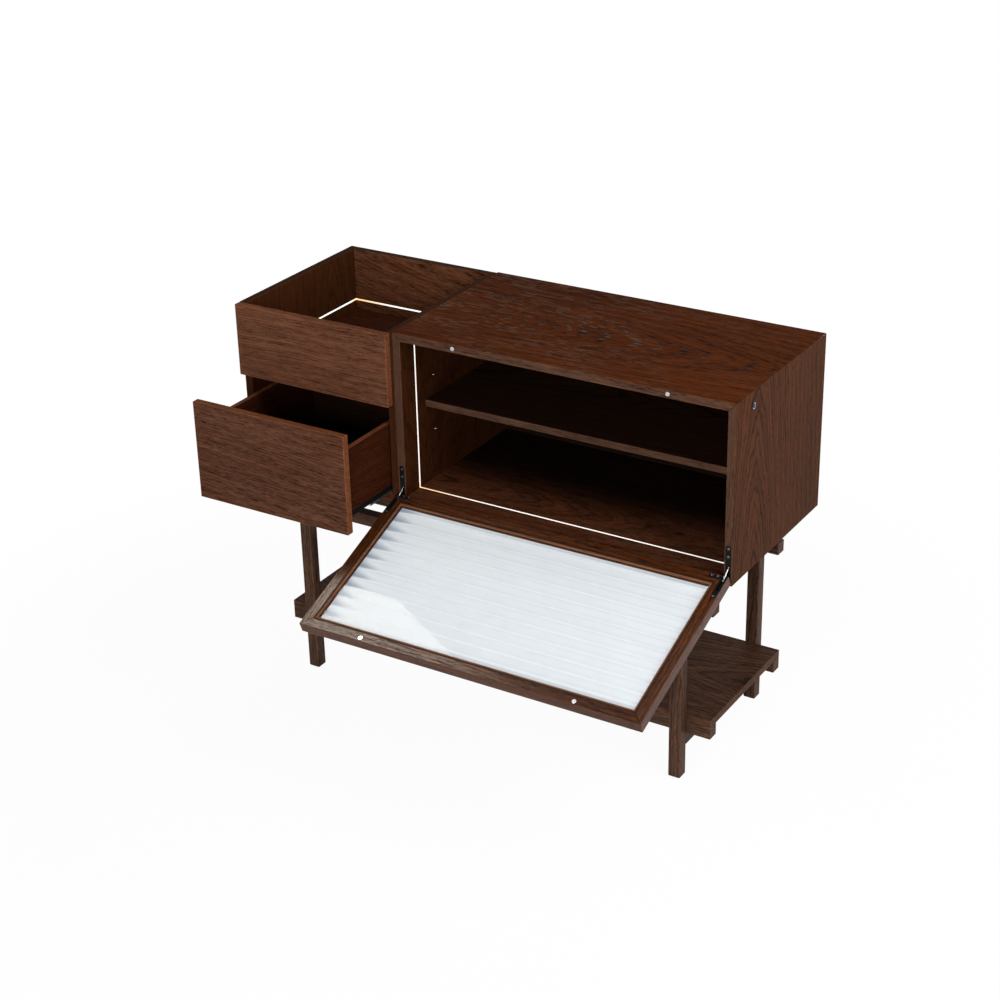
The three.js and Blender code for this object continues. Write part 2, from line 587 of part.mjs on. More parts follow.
// Hinge plates, links and their pins
const HINGE_SLOT = LINK_THICKNESS + 2 * FIT;
const linkRun = [FLAP_PIVOT[0] - CASE_PIVOT[0], FLAP_PIVOT[1] - CASE_PIVOT[1]];
const linkHeading = Math.atan2(linkRun[1], linkRun[0]);

function pinHole([y, z], x) {
  return prism('x', circle(y, z, HINGE_PIN + 2 * PIN_CLEARANCE), around(x, 2 * PLATE_WIDTH));
}

for (const [side, x] of Object.entries(HINGE_X)) {
  const slotX = around(x, HINGE_SLOT);
  const caseSlot = box(
    slotX,
    [-OVERCUT, CASE_PIVOT_Y + LINK_RADIUS + FIT],
    [CASE_PLATE_Z[0] - OVERCUT, CASE_PIVOT[1] + LINK_RADIUS + FIT],
  );
  const casePlate = prism('y', upright(x, CASE_PLATE_Z, PLATE_WIDTH), [0, CASE_PLATE_DEPTH]);
  piece(`hinge_case_plate_${side}`, cut(casePlate, caseSlot, pinHole(CASE_PIVOT, x)), BLACK_METAL);

  const across = linkHeading + Math.PI / 2;
  const outline = [
    ...arc(...FLAP_PIVOT, LINK_RADIUS, across - Math.PI, across, SIDES / 2),
    ...arc(...CASE_PIVOT, LINK_RADIUS, across, across + Math.PI, SIDES / 2),
  ];
  const bar = prism('x', outline, around(x, LINK_THICKNESS));
  const pinX = around(x, HINGE_PIN_LENGTH);
  const pins = [CASE_PIVOT, FLAP_PIVOT].map((at) => prism('x', circle(...at, HINGE_PIN), pinX));
  piece(`hinge_link_${side}`, join(bar, ...pins), STEEL, links);

  const flapSlot = box(
    slotX,
    [FLAP_PIVOT[0] - LINK_RADIUS - FIT, FLAP_Y[1] + OVERCUT],
    [FLAP_PLATE_Z[0] - OVERCUT, CASE_PIVOT[1]],
  );
  const plate = cut(flapPlate(x, side, 0), flapSlot, pinHole(FLAP_PIVOT, x));
  piece(`hinge_flap_plate_${side}`, plate, BLACK_METAL, flap);
}

// Magnetic catches in the cabinet top meet steel strikes in the flap
CATCH_X.forEach((x, i) => {
  const side = ['left', 'right'][i];
  piece(`catch_magnet_${side}`, prism('y', circle(x, CATCH_Z, CATCH_DIAMETER), [0, CATCH_LENGTH]), STEEL);
  piece(`catch_strike_${side}`, strikeDisc(x, 0), STEEL, flap);
});

// Light switch: a flanged cup through the right-hand side and the button that travels in it
function switchRound(diameter, [from, to], sides = SIDES) {
  return prism('x', circle(SWITCH_Y, SWITCH_Z, diameter, sides), [RIGHT + from, RIGHT + to]);
}

const BORE_FOOT = SWITCH_FLOOR - SWITCH_DEPTH;
const BUTTON_SPAN = [BORE_FOOT + BUTTON_TRAVEL + FIT, SWITCH_PROUD + BUTTON_PROUD];
const switchFlange = switchRound(SWITCH_FLANGE, [0, SWITCH_PROUD], 2 * SIDES);
const switchBarrel = switchRound(SWITCH_BARREL, [-SWITCH_DEPTH, SWITCH_PROUD]);
const switchBore = switchRound(SWITCH_BORE, [BORE_FOOT, SWITCH_PROUD + OVERCUT]);
piece('switch_bezel', cut(join(switchFlange, switchBarrel), switchBore), STEEL);
piece('switch_button', switchRound(SWITCH_BUTTON, BUTTON_SPAN), BLACK_PLASTIC);

// Light driver under the cabinet, in front of the rear top rail, with its inlet in the right-hand end
const DRIVER_END = LEG_LINES_X.right[0] - DRIVER_INSET;
const DRIVER_REAR = LEG_LINES_Y.rear[0] - FIT;
const driverBody = slab(
  [DRIVER_END - DRIVER_LENGTH, DRIVER_END],
  [DRIVER_REAR - DRIVER_DEPTH, DRIVER_REAR],
  [CASE_BOTTOM - DRIVER_HEIGHT, CASE_BOTTOM],
);
const inletOutline = circle(DRIVER_REAR - DRIVER_DEPTH / 2, CASE_BOTTOM - DRIVER_HEIGHT / 2, INLET_DIAMETER);
const inlet = prism('x', inletOutline, [DRIVER_END - INLET_DEPTH, DRIVER_END + OVERCUT]);
piece('light_driver', cut(driverBody, inlet), BLACK_PLASTIC);

// The origin lies on the floor under the middle of the opened piece, to the nearest millimetre
const reach = new THREE.Box3().setFromObject(credenza);
credenza.position.y = -Math.round((reach.min.y + reach.max.y) / 2);

export default credenza;
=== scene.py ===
"""Finishes, small fittings and stage for a two-module oak credenza.

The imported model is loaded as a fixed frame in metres, with the floor at z = 0 and the fronts facing -Y. Wood, glass
and metal are node materials on the frame's own pieces; the pieces with fine round forms are made here and stand for
theirs.
"""
import json
import math
from collections import namedtuple
from functools import partial

import bmesh
import bpy
import numpy as np
from bpy.props import FloatProperty, FloatVectorProperty, IntProperty, PointerProperty
from bpy.types import Operator, Panel, PropertyGroup
from mathutils import Matrix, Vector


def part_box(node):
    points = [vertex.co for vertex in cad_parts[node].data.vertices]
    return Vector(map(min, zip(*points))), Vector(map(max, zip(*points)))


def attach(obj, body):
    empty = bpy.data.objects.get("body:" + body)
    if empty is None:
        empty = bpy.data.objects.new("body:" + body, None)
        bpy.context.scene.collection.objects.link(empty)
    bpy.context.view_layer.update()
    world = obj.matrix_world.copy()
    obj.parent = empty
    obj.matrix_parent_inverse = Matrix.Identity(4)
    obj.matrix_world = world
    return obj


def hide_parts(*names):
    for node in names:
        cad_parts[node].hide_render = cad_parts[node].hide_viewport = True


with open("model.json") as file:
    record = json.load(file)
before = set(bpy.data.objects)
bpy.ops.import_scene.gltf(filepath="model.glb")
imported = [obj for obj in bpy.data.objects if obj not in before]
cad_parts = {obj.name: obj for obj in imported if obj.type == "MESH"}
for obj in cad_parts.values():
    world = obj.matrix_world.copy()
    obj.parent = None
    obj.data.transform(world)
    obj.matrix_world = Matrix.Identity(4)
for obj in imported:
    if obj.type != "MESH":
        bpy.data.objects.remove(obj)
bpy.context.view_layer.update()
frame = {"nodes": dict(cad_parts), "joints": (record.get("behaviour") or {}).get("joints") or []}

SIDES = ("left", "right")
BOARD = 0.018  # thickness of the cases' boards
SHARP = math.radians(35)  # an edge of a new piece that turns further than this stays crisp
MERGE = 1e-7  # points of a new piece that lie closer than this become one
SEED_STEP = 0.37  # between the seeds of boards that are cut alike
X_AXIS, Y_AXIS = (1.0, 0.0, 0.0), (0.0, 1.0, 0.0)

bl_info = {
    "name": "Oak credenza",
    "version": (1, 0, 0),
    "blender": (4, 5, 0),
    "location": "3D View > Sidebar > Credenza",
    "description": "Finishes, small fittings and stage for a two-module oak credenza",
    "category": "Object",
}


def colour(name, description, default):
    """A linear colour that a user can change."""
    return FloatVectorProperty(name=name, description=description, default=default,
                               subtype="COLOR", size=3, min=0.0, max=1.0)


def ground_of(name, place, default):
    """A stain's ground colour that a user can change."""
    return colour(name + " stain", "Ground colour of " + place, default)


def length(name, description, default):
    """A length in metres that a user can change."""
    return FloatProperty(name=name, description=description, default=default,
                         subtype="DISTANCE", unit="LENGTH", min=0.0, precision=5)


def portion(name, description, default):
    """A share from 0 to 1 that a user can change."""
    return FloatProperty(name=name, description=description, default=default, subtype="FACTOR", min=0.0, max=1.0)


def bearing(name, description, default):
    """An angle in radians that a user can change."""
    return FloatProperty(name=name, description=description, default=default, subtype="ANGLE")


def power(name, where, default):
    """A lamp's power in watts that a user can change."""
    return FloatProperty(name=name + " lamp", description="Power of the lamp " + where, default=default,
                         subtype="POWER", min=0.0)


class CredenzaOak(PropertyGroup):
    """Stains of the oak."""

    top_stain: ground_of("Top", "the cabinet's top", (0.0595, 0.0135, 0.0024))
    front_stain: ground_of("Front", "the bin's front", (0.090, 0.0335, 0.0172))
    drawer_stain: ground_of("Drawer", "the drawer's front", (0.067, 0.0255, 0.0136))
    side_stain: ground_of("Side", "the outer sides", (0.047, 0.0145, 0.0048))
    inner_stain: ground_of("Inner", "the inner faces", (0.052, 0.0130, 0.0048))
    # Painted light and shade: the floor stain is lighter for the light at the cabinet's front, and the dim stain is
    # painted shade on the back inside and the floor behind.
    floor_stain_and_light: ground_of("Floor", "the cabinet's floor at the front", (0.080, 0.0235, 0.0090))
    dim_stain_and_shade: ground_of("Dim shade", "the cabinet's back inside and of the floor there", (0.0066, 0.0031, 0.0019))
    # Painted shade: the deep stain darkens the cabinet's shelf and the drawer's inside, where shade falls.
    deep_stain_and_shade: ground_of("Deep shade", "the cabinet's shelf and the drawer's inside", (0.020, 0.0085, 0.0045))
    box_stain: ground_of("Box", "the drawer's sides", (0.0395, 0.0100, 0.0039))
    back_stain: ground_of("Back", "the bin's back", (0.088, 0.0290, 0.0120))
    stand_stain: ground_of("Stand", "the stand", (0.054, 0.0265, 0.0160))
    shelf_stain: ground_of("Shelf", "the stand's shelf", (0.036, 0.0160, 0.0086))
    flap_stain: ground_of("Flap", "the flap's frame", (0.056, 0.0155, 0.0040))
    bead_stain: ground_of("Bead", "the glazing bead", (0.165, 0.0690, 0.0330))
    edge_stain: ground_of("Edge", "the fronts' edge bands", (0.138, 0.0465, 0.0190))
    rim_stain: ground_of("Rim", "the bin's edge bands", (0.036, 0.0125, 0.0050))
    case_edge_stain: ground_of("Case edge", "the cases' edge bands", (0.061, 0.0300, 0.0185))
    # Painted sheen: the pale and tan flecks stand for light mirrored in the open pores; the dark flecks are the
    # pores' stain.
    pale_sheen_fleck: colour("Pale fleck", "Open pores of the top, which hold pale filler", (0.130, 0.1000, 0.0780))
    tan_sheen_fleck: colour("Tan fleck", "Open pores of the fronts, which hold tan filler", (0.150, 0.0950, 0.0680))
    dark_fleck: colour("Dark fleck", "Open pores that hold dark stain", (0.012, 0.0050, 0.0032))


class CredenzaFittings(PropertyGroup):
    """Colours and sizes of the glass, the light and the small metal fittings."""

    opal: colour("Opal panel", "Colour of the fluted panel", (0.440, 0.455, 0.468))
    # Painted shade: the end colour greys the sheet next to the stile, where the frame shades it.
    opal_end_shade: colour("Opal end", "Share of that colour in the hollows at the panel's end", (0.52, 0.57, 0.64))
    # Painted light: the panel glows by emission, a painted light that stands for daylight through it from behind.
    opal_glow: colour("Opal light", "Daylight that comes through the panel from behind", (0.250, 0.262, 0.274))
    slope_painted_glow: portion("Slope light", "How much more light from behind shows on a steep slope", 0.95)
    flute_shade: portion("Flute shade", "Share of the flutes' slope that shading follows", 0.35)
    glass: colour("Glass", "Colour of light through the clear pane", (0.985, 0.99, 0.992))
    glass_shine: colour("Glass shine", "Colour of what the clear pane mirrors", (0.9, 0.93, 0.94))
    steel: colour("Bright steel", "Colour of links, catches and the switch ring", (0.56, 0.57, 0.58))
    screw_steel: colour("Screw steel", "Colour of the hinge screws", (0.10, 0.10, 0.105))
    zinc: colour("Zinc", "Colour of the drawer slides' runners", (0.48, 0.49, 0.50))
    black: colour("Black", "Colour of the black hinge plates and channels", (0.006, 0.006, 0.0065))
    plastic: colour("Plastic", "Colour of the button and the light's driver", (0.020, 0.020, 0.022))
    light: colour("Light", "Colour of the lit strips", (1.0, 0.95, 0.89))
    warm_light: colour("Warm light", "Colour of the strips near the diodes", (1.0, 0.62, 0.30))
    glow: FloatProperty(name="Glow", description="Strength of the lit strips", default=0.92, min=0.0)
    lit: length("Lit width", "Width of the strips that is lit", 0.0040)
    flutes: IntProperty(name="Flutes", description="Number of flutes in the opal panel", default=12, min=1)
    panel_sheet: length("Panel sheet", "Thickness of the fluted panel's sheet", 0.0018)
    panel_held: length("Panel held", "Width of the fluted panel that the frame's groove hides", 0.0067)
    bead_seam: length("Bead seam", "Width of the glazing bead's outer side that lies in shade", 0.0042)
    screw: length("Screw head", "Diameter of a hinge screw's head", 0.0066)
    link_eye: length("Link eye", "Diameter of a hinge link's eyes", 0.0050)
    link_waist: length("Link waist", "Width of a hinge link between its eyes", 0.0026)
    link_thick: length("Link thickness", "Thickness of a hinge link", 0.0026)
    pin: length("Hinge pin", "Diameter of a hinge pin", 0.0030)
    sleeve: length("Sleeve", "Outer diameter of a shelf pin's sleeve", 0.0066)
    sleeve_bore: length("Sleeve bore", "Diameter of a shelf pin's hole", 0.0044)
    pin_inset: length("Pin inset", "From the shelf's front and back edges to the pins", 0.037)
    pin_pitch: length("Pin pitch", "Height between two rows of pin holes", 0.064)


class CredenzaStage(PropertyGroup):
    """Camera, lamps and floor."""

    camera_place: FloatVectorProperty(name="Camera place", description="Where the camera stands", size=3,
                                      default=(2.12585, -3.31541, 2.44913), subtype="XYZ", unit="LENGTH")
    yaw: bearing("Yaw", "Turn of the camera to the left of +Y", 0.559992)
    pitch: bearing("Pitch", "Tilt of the camera above the horizon", -0.451188)
    roll: bearing("Roll", "Turn of the camera about its own axis", -0.023605)
    focal: FloatProperty(name="Focal length", description="For a picture 36 mm wide", default=73.947, unit="CAMERA")
    overhead: power("Overhead", "above", 60.0)
    front: power("Front", "in front", 150.0)
    right: power("Right", "on the right", 26.0)
    left: power("Left", "above the left", 27.0)
    back: power("Back", "behind", 75.0)
    end: power("End", "at the left end", 42.0)
    left_colour: colour("Left lamp colour", "Colour of the lamp above the left", (1.0, 0.92, 0.80))
    sky: FloatProperty(name="Sky", description="Strength of the even light from all round", default=0.17, min=0.0)
    floor: colour("Floor", "Colour of the floor", (0.80, 0.80, 0.80))
    floor_white: portion("Floor white", "Share of the floor that is plain white in the picture", 0.95)


def joint(name):
    """The named joint of the frame."""
    return next(j for j in frame["joints"] if j["name"] == name)


# At rest the flap hangs open by its own swing less the links' swing back.
FLAP_OPEN = math.radians(-joint("flap_swing")["range_deg"][0] - joint("link_swing")["range_deg"][1])
# Rows of the flap's own axes: along the hinge, from the hinge to the free edge, and out of the inner face.
FLAP_AXES = np.array([
    X_AXIS,
    (0.0, -math.sin(FLAP_OPEN), math.cos(FLAP_OPEN)),
    (0.0, math.cos(FLAP_OPEN), math.sin(FLAP_OPEN)),
])


def board_box(name):
    """Lowest and highest corner of a board, without the shelf pins in the cabinet's sides."""
    low, high = (np.array(corner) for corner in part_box(name))
    if name == "cabinet_left_side":
        high[0] = low[0] + BOARD
    if name == "cabinet_right_side":
        low[0] = high[0] - BOARD
    return low, high


def flap_box(name):
    """Lowest and highest corner of one of the flap's pieces, along the flap's own axes."""
    mesh = frame["nodes"][name].data
    points = np.empty(len(mesh.vertices) * 3)
    mesh.vertices.foreach_get("co", points)
    points = points.reshape(-1, 3) @ FLAP_AXES.T
    return points.min(axis=0), points.max(axis=0)


def upright_box(name):
    """That box for the flap stood upright, with the hinge along X and the free edge up."""
    return [corner[[0, 2, 1]] for corner in flap_box(name)]


# Shader nodes

class Wire:
    """One output of a node; arithmetic on it adds further nodes, for numbers or for vectors and colours."""

    def __init__(self, node, output=0):
        self.tree, self.socket = node.id_data, node.outputs[output]

    def __add__(self, other):
        return maths("ADD", self, other)

    def __sub__(self, other):
        return maths("SUBTRACT", self, other)

    def __rsub__(self, other):
        return maths("SUBTRACT", other, self)

    def __mul__(self, other):
        return maths("MULTIPLY", self, other)

    def __truediv__(self, other):
        return maths("DIVIDE", self, other)

    def axes(self):
        """Its parts along the three axes, by letter."""
        made = add(self.tree, "SeparateXYZ", Vector=self)
        return {letter: Wire(made, letter) for letter in "XYZ"}


def is_number(value):
    """Whether a value is a single number, and not a vector or a colour."""
    return value.socket.type == "VALUE" if isinstance(value, Wire) else np.isscalar(value)


def maths(operation, *values):
    """One step of arithmetic, on numbers alone or on vectors; a vector times a number is scaled by it."""
    tree = next(value.tree for value in values if isinstance(value, Wire))
    numbers = [is_number(value) for value in values]
    if operation == "MULTIPLY" and numbers == [False, True]:
        made = add(tree, "VectorMath", {"operation": "SCALE"}, Scale=values[1])
        put(made.inputs[0], values[0])
        return Wire(made)
    made = add(tree, "Math" if all(numbers) else "VectorMath", {"operation": operation})
    for socket, value in zip(made.inputs, values):
        put(socket, value)
    return Wire(made, "Value" if operation in ("DOT_PRODUCT", "LENGTH") else 0)


# The smaller and the larger of two values.
least, most = partial(maths, "MINIMUM"), partial(maths, "MAXIMUM")


def add(tree, kind, settings=None, **sockets):
    """Adds a node with its settings and its sockets' values."""
    made = tree.nodes.new("ShaderNode" + kind)
    for key, value in (settings or {}).items():
        setattr(made, key, value)
    join(made, **sockets)
    return made


def join(node, **sockets):
    """Sets or joins a node's sockets by name, with an underscore for each space."""
    for key, value in sockets.items():
        put(node.inputs[key.replace("_", " ")], value)


def put(socket, value):
    """Joins a node's output to a socket, or sets the socket's own value."""
    if isinstance(value, Wire):
        value.tree.links.new(value.socket, socket)
    elif socket.type == "RGBA" and len(value) == 3:
        socket.default_value = (*value, 1.0)
    else:
        socket.default_value = value


def coordinate(tree, kind="Object"):
    """Where a point of the surface is, or which way it faces."""
    return Wire(add(tree, "TexCoord"), kind)


def stood_up(place):
    """A place on the flap, turned with the flap until it stands upright."""
    return Wire(add(place.tree, "Mapping", Vector=place, Rotation=(-FLAP_OPEN, 0.0, 0.0)))


def ease(value, low, high, start=0.0, end=1.0):
    """Goes smoothly from start to end while the value goes from low to high."""
    return Wire(add(value.tree, "MapRange", {"interpolation_type": "SMOOTHSTEP"}, Value=value, From_Min=low,
                    From_Max=high, To_Min=start, To_Max=end))


def blend(factor, first, second):
    """Mixes two colours."""
    made = add(factor.tree, "Mix", {"data_type": "RGBA"})
    # The node has sockets of one name for numbers, vectors and colours; these are the ones for colours.
    for number, value in ((0, factor), (6, first), (7, second)):
        put(made.inputs[number], value)
    return Wire(made, 2)


def mix_shaders(share, first, second):
    """Shows the second shader by that share, and the first for the rest."""
    made = add(share.tree, "MixShader")
    for socket, value in zip(made.inputs, (share, Wire(first), Wire(second))):
        put(socket, value)
    return Wire(made)


def noise(place, stretch, seed=0.0, detail=2.0, roughness=0.5):
    """Noise whose features are 1/stretch metres long, with one stretch for all axes or one for each."""
    return Wire(add(place.tree, "TexNoise", {"noise_dimensions": "4D"}, Vector=place * stretch, W=seed, Scale=1.0,
                    Detail=detail, Roughness=roughness))


def oak_group():
    """Stained open-pored oak, cut from a log whose heart runs nearly along the board.

    A point's ring is its distance from the heart, a line that sinks below the board by the slope, plus a slow
    wander. Rings show as broken flecks in the open pores, in the Fleck colour: dark stain on some boards, and on
    others a pale painted sheen that stands for light mirrored in the pores. The ground varies in slow bands and
    fine fibre. Edge bands are plain, and the corners between a board's sides are paler, partly as wear and partly
    as a painted edge highlight.
    """
    name = "Stained oak"
    if name in bpy.data.node_groups:
        return bpy.data.node_groups[name]
    tree = bpy.data.node_groups.new(name, "ShaderNodeTree")
    given_sockets = {"Vector": "Vector, Low, High, Stroke", "Color": "Ground, Edge, Fleck",
                     "Float": "Seed, Heart Across, Heart Depth, Heart Slope, Ring Width, Fade From, Fade To, "
                              "Edging, Fleck Amount, Pore Amount, Tone Range, Ring Tone, Matt"}
    for way, sockets in (("INPUT", given_sockets), ("OUTPUT", {"Color": "Color", "Float": "Roughness, Height"})):
        for kind, names in sockets.items():
            for socket in names.split(", "):
                tree.interface.new_socket(socket, in_out=way, socket_type="NodeSocket" + kind)
    given = partial(Wire, tree.nodes.new("NodeGroupInput"))
    place, seed = given("Vector"), given("Seed")
    x, y, z = place.axes().values()

    def grain(along, across, *details, seed=seed):
        """Noise with so many features to a metre along the grain and across it."""
        return noise(place, (along, across, across), seed, *details)

    # How far a point is inside the board's box on each axis; the middle one of the three is its way to a corner.
    near_x, near_y, near_z = least(place - given("Low"), given("High") - place).axes().values()
    corner = most(least(near_x, near_y), least(most(near_x, near_y), near_z))
    band = ease(near_z, 0.0003, 0.0009) * given("Edging")
    face = 1.0 - band

    wander = (grain(2.6, 11.0) - 0.5) * 0.034 + (grain(24.0, 70.0, 1.0) - 0.5) * 0.006
    aside = y - given("Heart Across")
    depth = x * given("Heart Slope") + given("Heart Depth") + z
    rings = (maths("SQRT", aside * aside + depth * depth) + wander) / given("Ring Width")
    line = ease(maths("PINGPONG", rings, 0.5) * 2.0, 0.54, 0.90)

    patch = ease(grain(6.0, 22.0), 0.36, 0.58)
    stroke = ease(noise(place, given("Stroke"), seed, 1.0), 0.45, 0.60)
    fade = ease(x, given("Fade From"), given("Fade To"), 1.0, 0.2)
    flecks = line * patch * (stroke * fade) * face
    pores = ease(grain(70.0, 480.0, 1.0), 0.52, 0.66) * face
    vessels = ease(grain(70.0, 500.0, 1.0, seed=seed + 3.1), 0.50, 0.66)
    fibre = grain(18.0, 240.0, 3.0, 0.7)
    broad = grain(2.0, 9.0)

    # A dry spell or a wet one shows as a soft band some rings wide; neither this nor a ring shows on an edge band.
    spell = maths("PINGPONG", rings * 0.31 + seed, 0.5)
    figure = (0.25 - spell) * 0.9 + (0.35 - line) * given("Ring Tone")
    tone = (broad - 0.5) * 1.3 + (fibre - 0.5) * 2.9 + figure * face + (0.3 - vessels) * 0.48
    # Paler corners between a board's sides: partly wear, partly a painted edge highlight.
    wear_and_highlight = ease(corner, 0.0008, 0.0026, 1.0, 0.0) * ease(grain(30.0, 30.0), 0.35, 0.65, 0.3, 0.9)
    shade = most(tone * given("Tone Range") + 1.0 + wear_and_highlight * 0.5, 0.15)
    body = blend(band, given("Ground"), given("Edge")) * shade
    body = blend(flecks * given("Fleck Amount"), body, given("Fleck"))
    body = blend(pores * given("Pore Amount"), body, given("Fleck"))
    join(tree.nodes.new("NodeGroupOutput"), Color=body, Roughness=flecks * 0.16 + fibre * 0.14 + given("Matt"),
         Height=flecks * -0.7 + pores * -0.45 + fibre * 0.25)
    return tree


# A board's cut: which axes run along, across and through it, its own seed, where the log's heart lies, how far
# apart the rings are, how many strokes to a metre along and across, and where along the board the flecks fade.
Cut = namedtuple("Cut", "order seed across depth slope ring stroke fade",
                 defaults=(0.006, (52.0, 300.0), (50.0, 51.0)))
# How a stain takes: ground, edge bands (none on solid pieces), flecks and pores as shares, the spread of tone, the
# shine and mattness of the lacquer, and how far the rings differ in tone.
Stain = namedtuple("Stain", "ground edge fleck fleck_amount pore_amount tone shine matt rings",
                   defaults=(0.38, 0.6))


def emptied(block):
    """The node tree of a material or of the world, without its first nodes."""
    block.use_nodes = True
    block.node_tree.nodes.clear()
    return block.node_tree


def new_material(name):
    """A material, its tree and its Principled shader, joined to the output."""
    material = bpy.data.materials.new(name)
    tree = emptied(material)
    shader = add(tree, "BsdfPrincipled")
    add(tree, "OutputMaterial", Surface=Wire(shader))
    return material, tree, shader


def oak_name(node):
    """Name of a board's own oak."""
    return node.replace("_", " ").capitalize() + " oak"


def oak_of(node):
    """The tree of a board's own oak, and the grain in it."""
    tree = bpy.data.materials[oak_name(node)].node_tree
    return tree, tree.nodes["Group"]


def oak(node, cut, stain, leaning):
    """Oak for one board; a leaning board of the flap is brought upright before its grain is laid."""
    material, tree, shader = new_material(oak_name(node))
    place = coordinate(tree)
    if leaning:
        place = stood_up(place)
    low, high = upright_box(node) if leaning else board_box(node)
    axes = place.axes()
    laid = add(tree, "CombineXYZ", **{to: axes[letter] for to, letter in zip("XYZ", cut.order)})
    order = ["XYZ".index(letter) for letter in cut.order]
    banded = stain.edge is not None
    grain = partial(Wire, add(
        tree, "Group", {"node_tree": oak_group()}, Vector=Wire(laid), Low=tuple(low[order]),
        High=tuple(high[order]), Seed=cut.seed, Heart_Across=cut.across, Heart_Depth=cut.depth,
        Heart_Slope=cut.slope, Ring_Width=cut.ring, Fade_From=cut.fade[0], Fade_To=cut.fade[1],
        Stroke=(cut.stroke[0], cut.stroke[1], cut.stroke[1]), Ground=stain.ground,
        Edge=stain.edge if banded else stain.ground, Edging=1.0 if banded else 0.0, Fleck=stain.fleck,
        Fleck_Amount=stain.fleck_amount, Pore_Amount=stain.pore_amount, Tone_Range=stain.tone,
        Ring_Tone=stain.rings, Matt=stain.matt))
    bump = add(tree, "Bump", Strength=0.35, Distance=0.0006, Height=grain("Height"))
    join(shader, Base_Color=grain("Color"), Roughness=grain("Roughness"), Normal=Wire(bump),
         Specular_IOR_Level=stain.shine)
    return material


def stain_boards(nodes, cut, stain, leaning=False):
    """Gives each named board its own oak, with its own seed."""
    for step, node in enumerate(nodes.split()):
        dress(oak(node, cut._replace(seed=cut.seed + SEED_STEP * step), stain, leaning), node)


def stain_outside(node, stain):
    """Gives the outer face of a back another stain's ground, flecks and spread of tone."""
    tree, grain = oak_of(node)
    outer = maths("GREATER_THAN", coordinate(tree, "Normal").axes()["Y"], 0.5)
    for name, wanted in (("Ground", stain.ground), ("Fleck", stain.fleck)):
        socket = grain.inputs[name]
        put(socket, blend(outer, socket.default_value[:3], wanted))
    spread = grain.inputs["Tone Range"].default_value
    join(grain, Tone_Range=outer * (stain.tone - spread) + spread)


def dress(material, *nodes):
    """Gives a material to the frame's own pieces."""
    for name in nodes:
        mesh = frame["nodes"][name].data
        mesh.materials.clear()
        mesh.materials.append(material)


def metal(name, base, roughness, spread, stretch, metallic=1.0, shine=0.5):
    """Metal or paint whose roughness wanders with noise of the given stretch."""
    material, tree, shader = new_material(name)
    speck = noise(coordinate(tree), stretch)
    bump = add(tree, "Bump", Strength=0.12, Distance=0.0002, Height=speck)
    join(shader, Base_Color=maths("MULTIPLY", tuple(base), ease(speck, 0.2, 0.8, 0.86, 1.1)), Normal=Wire(bump),
         Roughness=(speck - 0.5) * spread + roughness, Metallic=metallic, Specular_IOR_Level=shine)
    return material


# Surfaces

def ring_faces(rows, columns):
    """Corner numbers of the quads between rings of points; each ring's last point lies beside its first."""
    here = np.arange(rows * columns).reshape(rows, columns)
    beside = np.roll(here, -1, axis=1)
    return np.stack([here[:-1], beside[:-1], beside[1:], here[1:]], axis=-1).reshape(-1, 4)


def side_axes(axis):
    """Two directions square to an axis and to each other."""
    axis = np.asarray(axis, float)
    helper = (0.0, 0.0, 1.0) if abs(axis[2]) < 0.9 else X_AXIS
    first = np.cross(axis, helper)
    first /= np.linalg.norm(first)
    return first, np.cross(axis, first)


def turned(profile, centre, axis, steps=40):
    """A turned form: each (distance along the axis, radius) of the profile makes one ring about the axis."""
    along, radius = np.asarray(profile, float).T
    angle = np.linspace(0.0, 2.0 * math.pi, steps, endpoint=False)
    first, second = side_axes(axis)
    round_about = np.cos(angle)[:, None] * first + np.sin(angle)[:, None] * second
    points = (np.asarray(centre) + along[:, None, None] * np.asarray(axis, float)
              + radius[:, None, None] * round_about[None])
    return points.reshape(-1, 3), ring_faces(len(along), steps)


def pin_profile(span, diameter):
    """Half outline of a pin with rounded ends, as (distance along, radius)."""
    radius = 0.5 * diameter
    end = 0.3 * radius
    return [(0.0, 0.0), (0.0, 0.6 * radius), (0.4 * end, 0.9 * radius), (end, radius), (span - end, radius),
            (span - 0.4 * end, 0.9 * radius), (span, 0.6 * radius), (span, 0.0)]


def link_bar(near, far, eye, waist, thick):
    """A flat bar between two pins, with a round eye at each end and a slimmer waist.

    At each share of the bar's length the section is a rounded oblong: its half width is the eye's circle near the
    ends and eases down to half the waist between them, and its half thickness falls to nothing only at the tips.
    """
    way = far - near
    span = np.linalg.norm(way)
    way = way / span
    radius = 0.5 * eye
    turn = np.linspace(0.0, math.pi, 49)
    along = 0.5 * span - (0.5 * span + radius) * np.cos(turn)
    off = np.minimum(np.abs(along), np.abs(along - span))
    outside = (along < 0.0) | (along > span)
    round_eye = np.sqrt(np.clip(radius ** 2 - off ** 2, 0.0, None))
    eased = np.clip(off / (1.6 * radius), 0.0, 1.0)
    slim = radius + (0.5 * waist - radius) * eased ** 2 * (3.0 - 2.0 * eased)
    width = np.where(outside, round_eye, slim)
    tip = np.where(outside, np.sqrt(np.clip(1.0 - (off / radius) ** 4, 0.0, None)), 1.0)
    angle = np.linspace(0.0, 2.0 * math.pi, 32, endpoint=False)
    # A rounded oblong: cosine and sine raised to the power 0.45, with their signs kept.
    wide, high = (np.sign(f) * np.abs(f) ** 0.45 for f in (np.cos(angle), np.sin(angle)))
    side = np.array((0.0, -way[2], way[1]))
    points = (near + along[:, None, None] * way + (width[:, None] * wide)[..., None] * side
              + (0.5 * thick * tip[:, None] * high)[..., None] * np.array(X_AXIS))
    return points.reshape(-1, 3), ring_faces(len(along), len(angle))


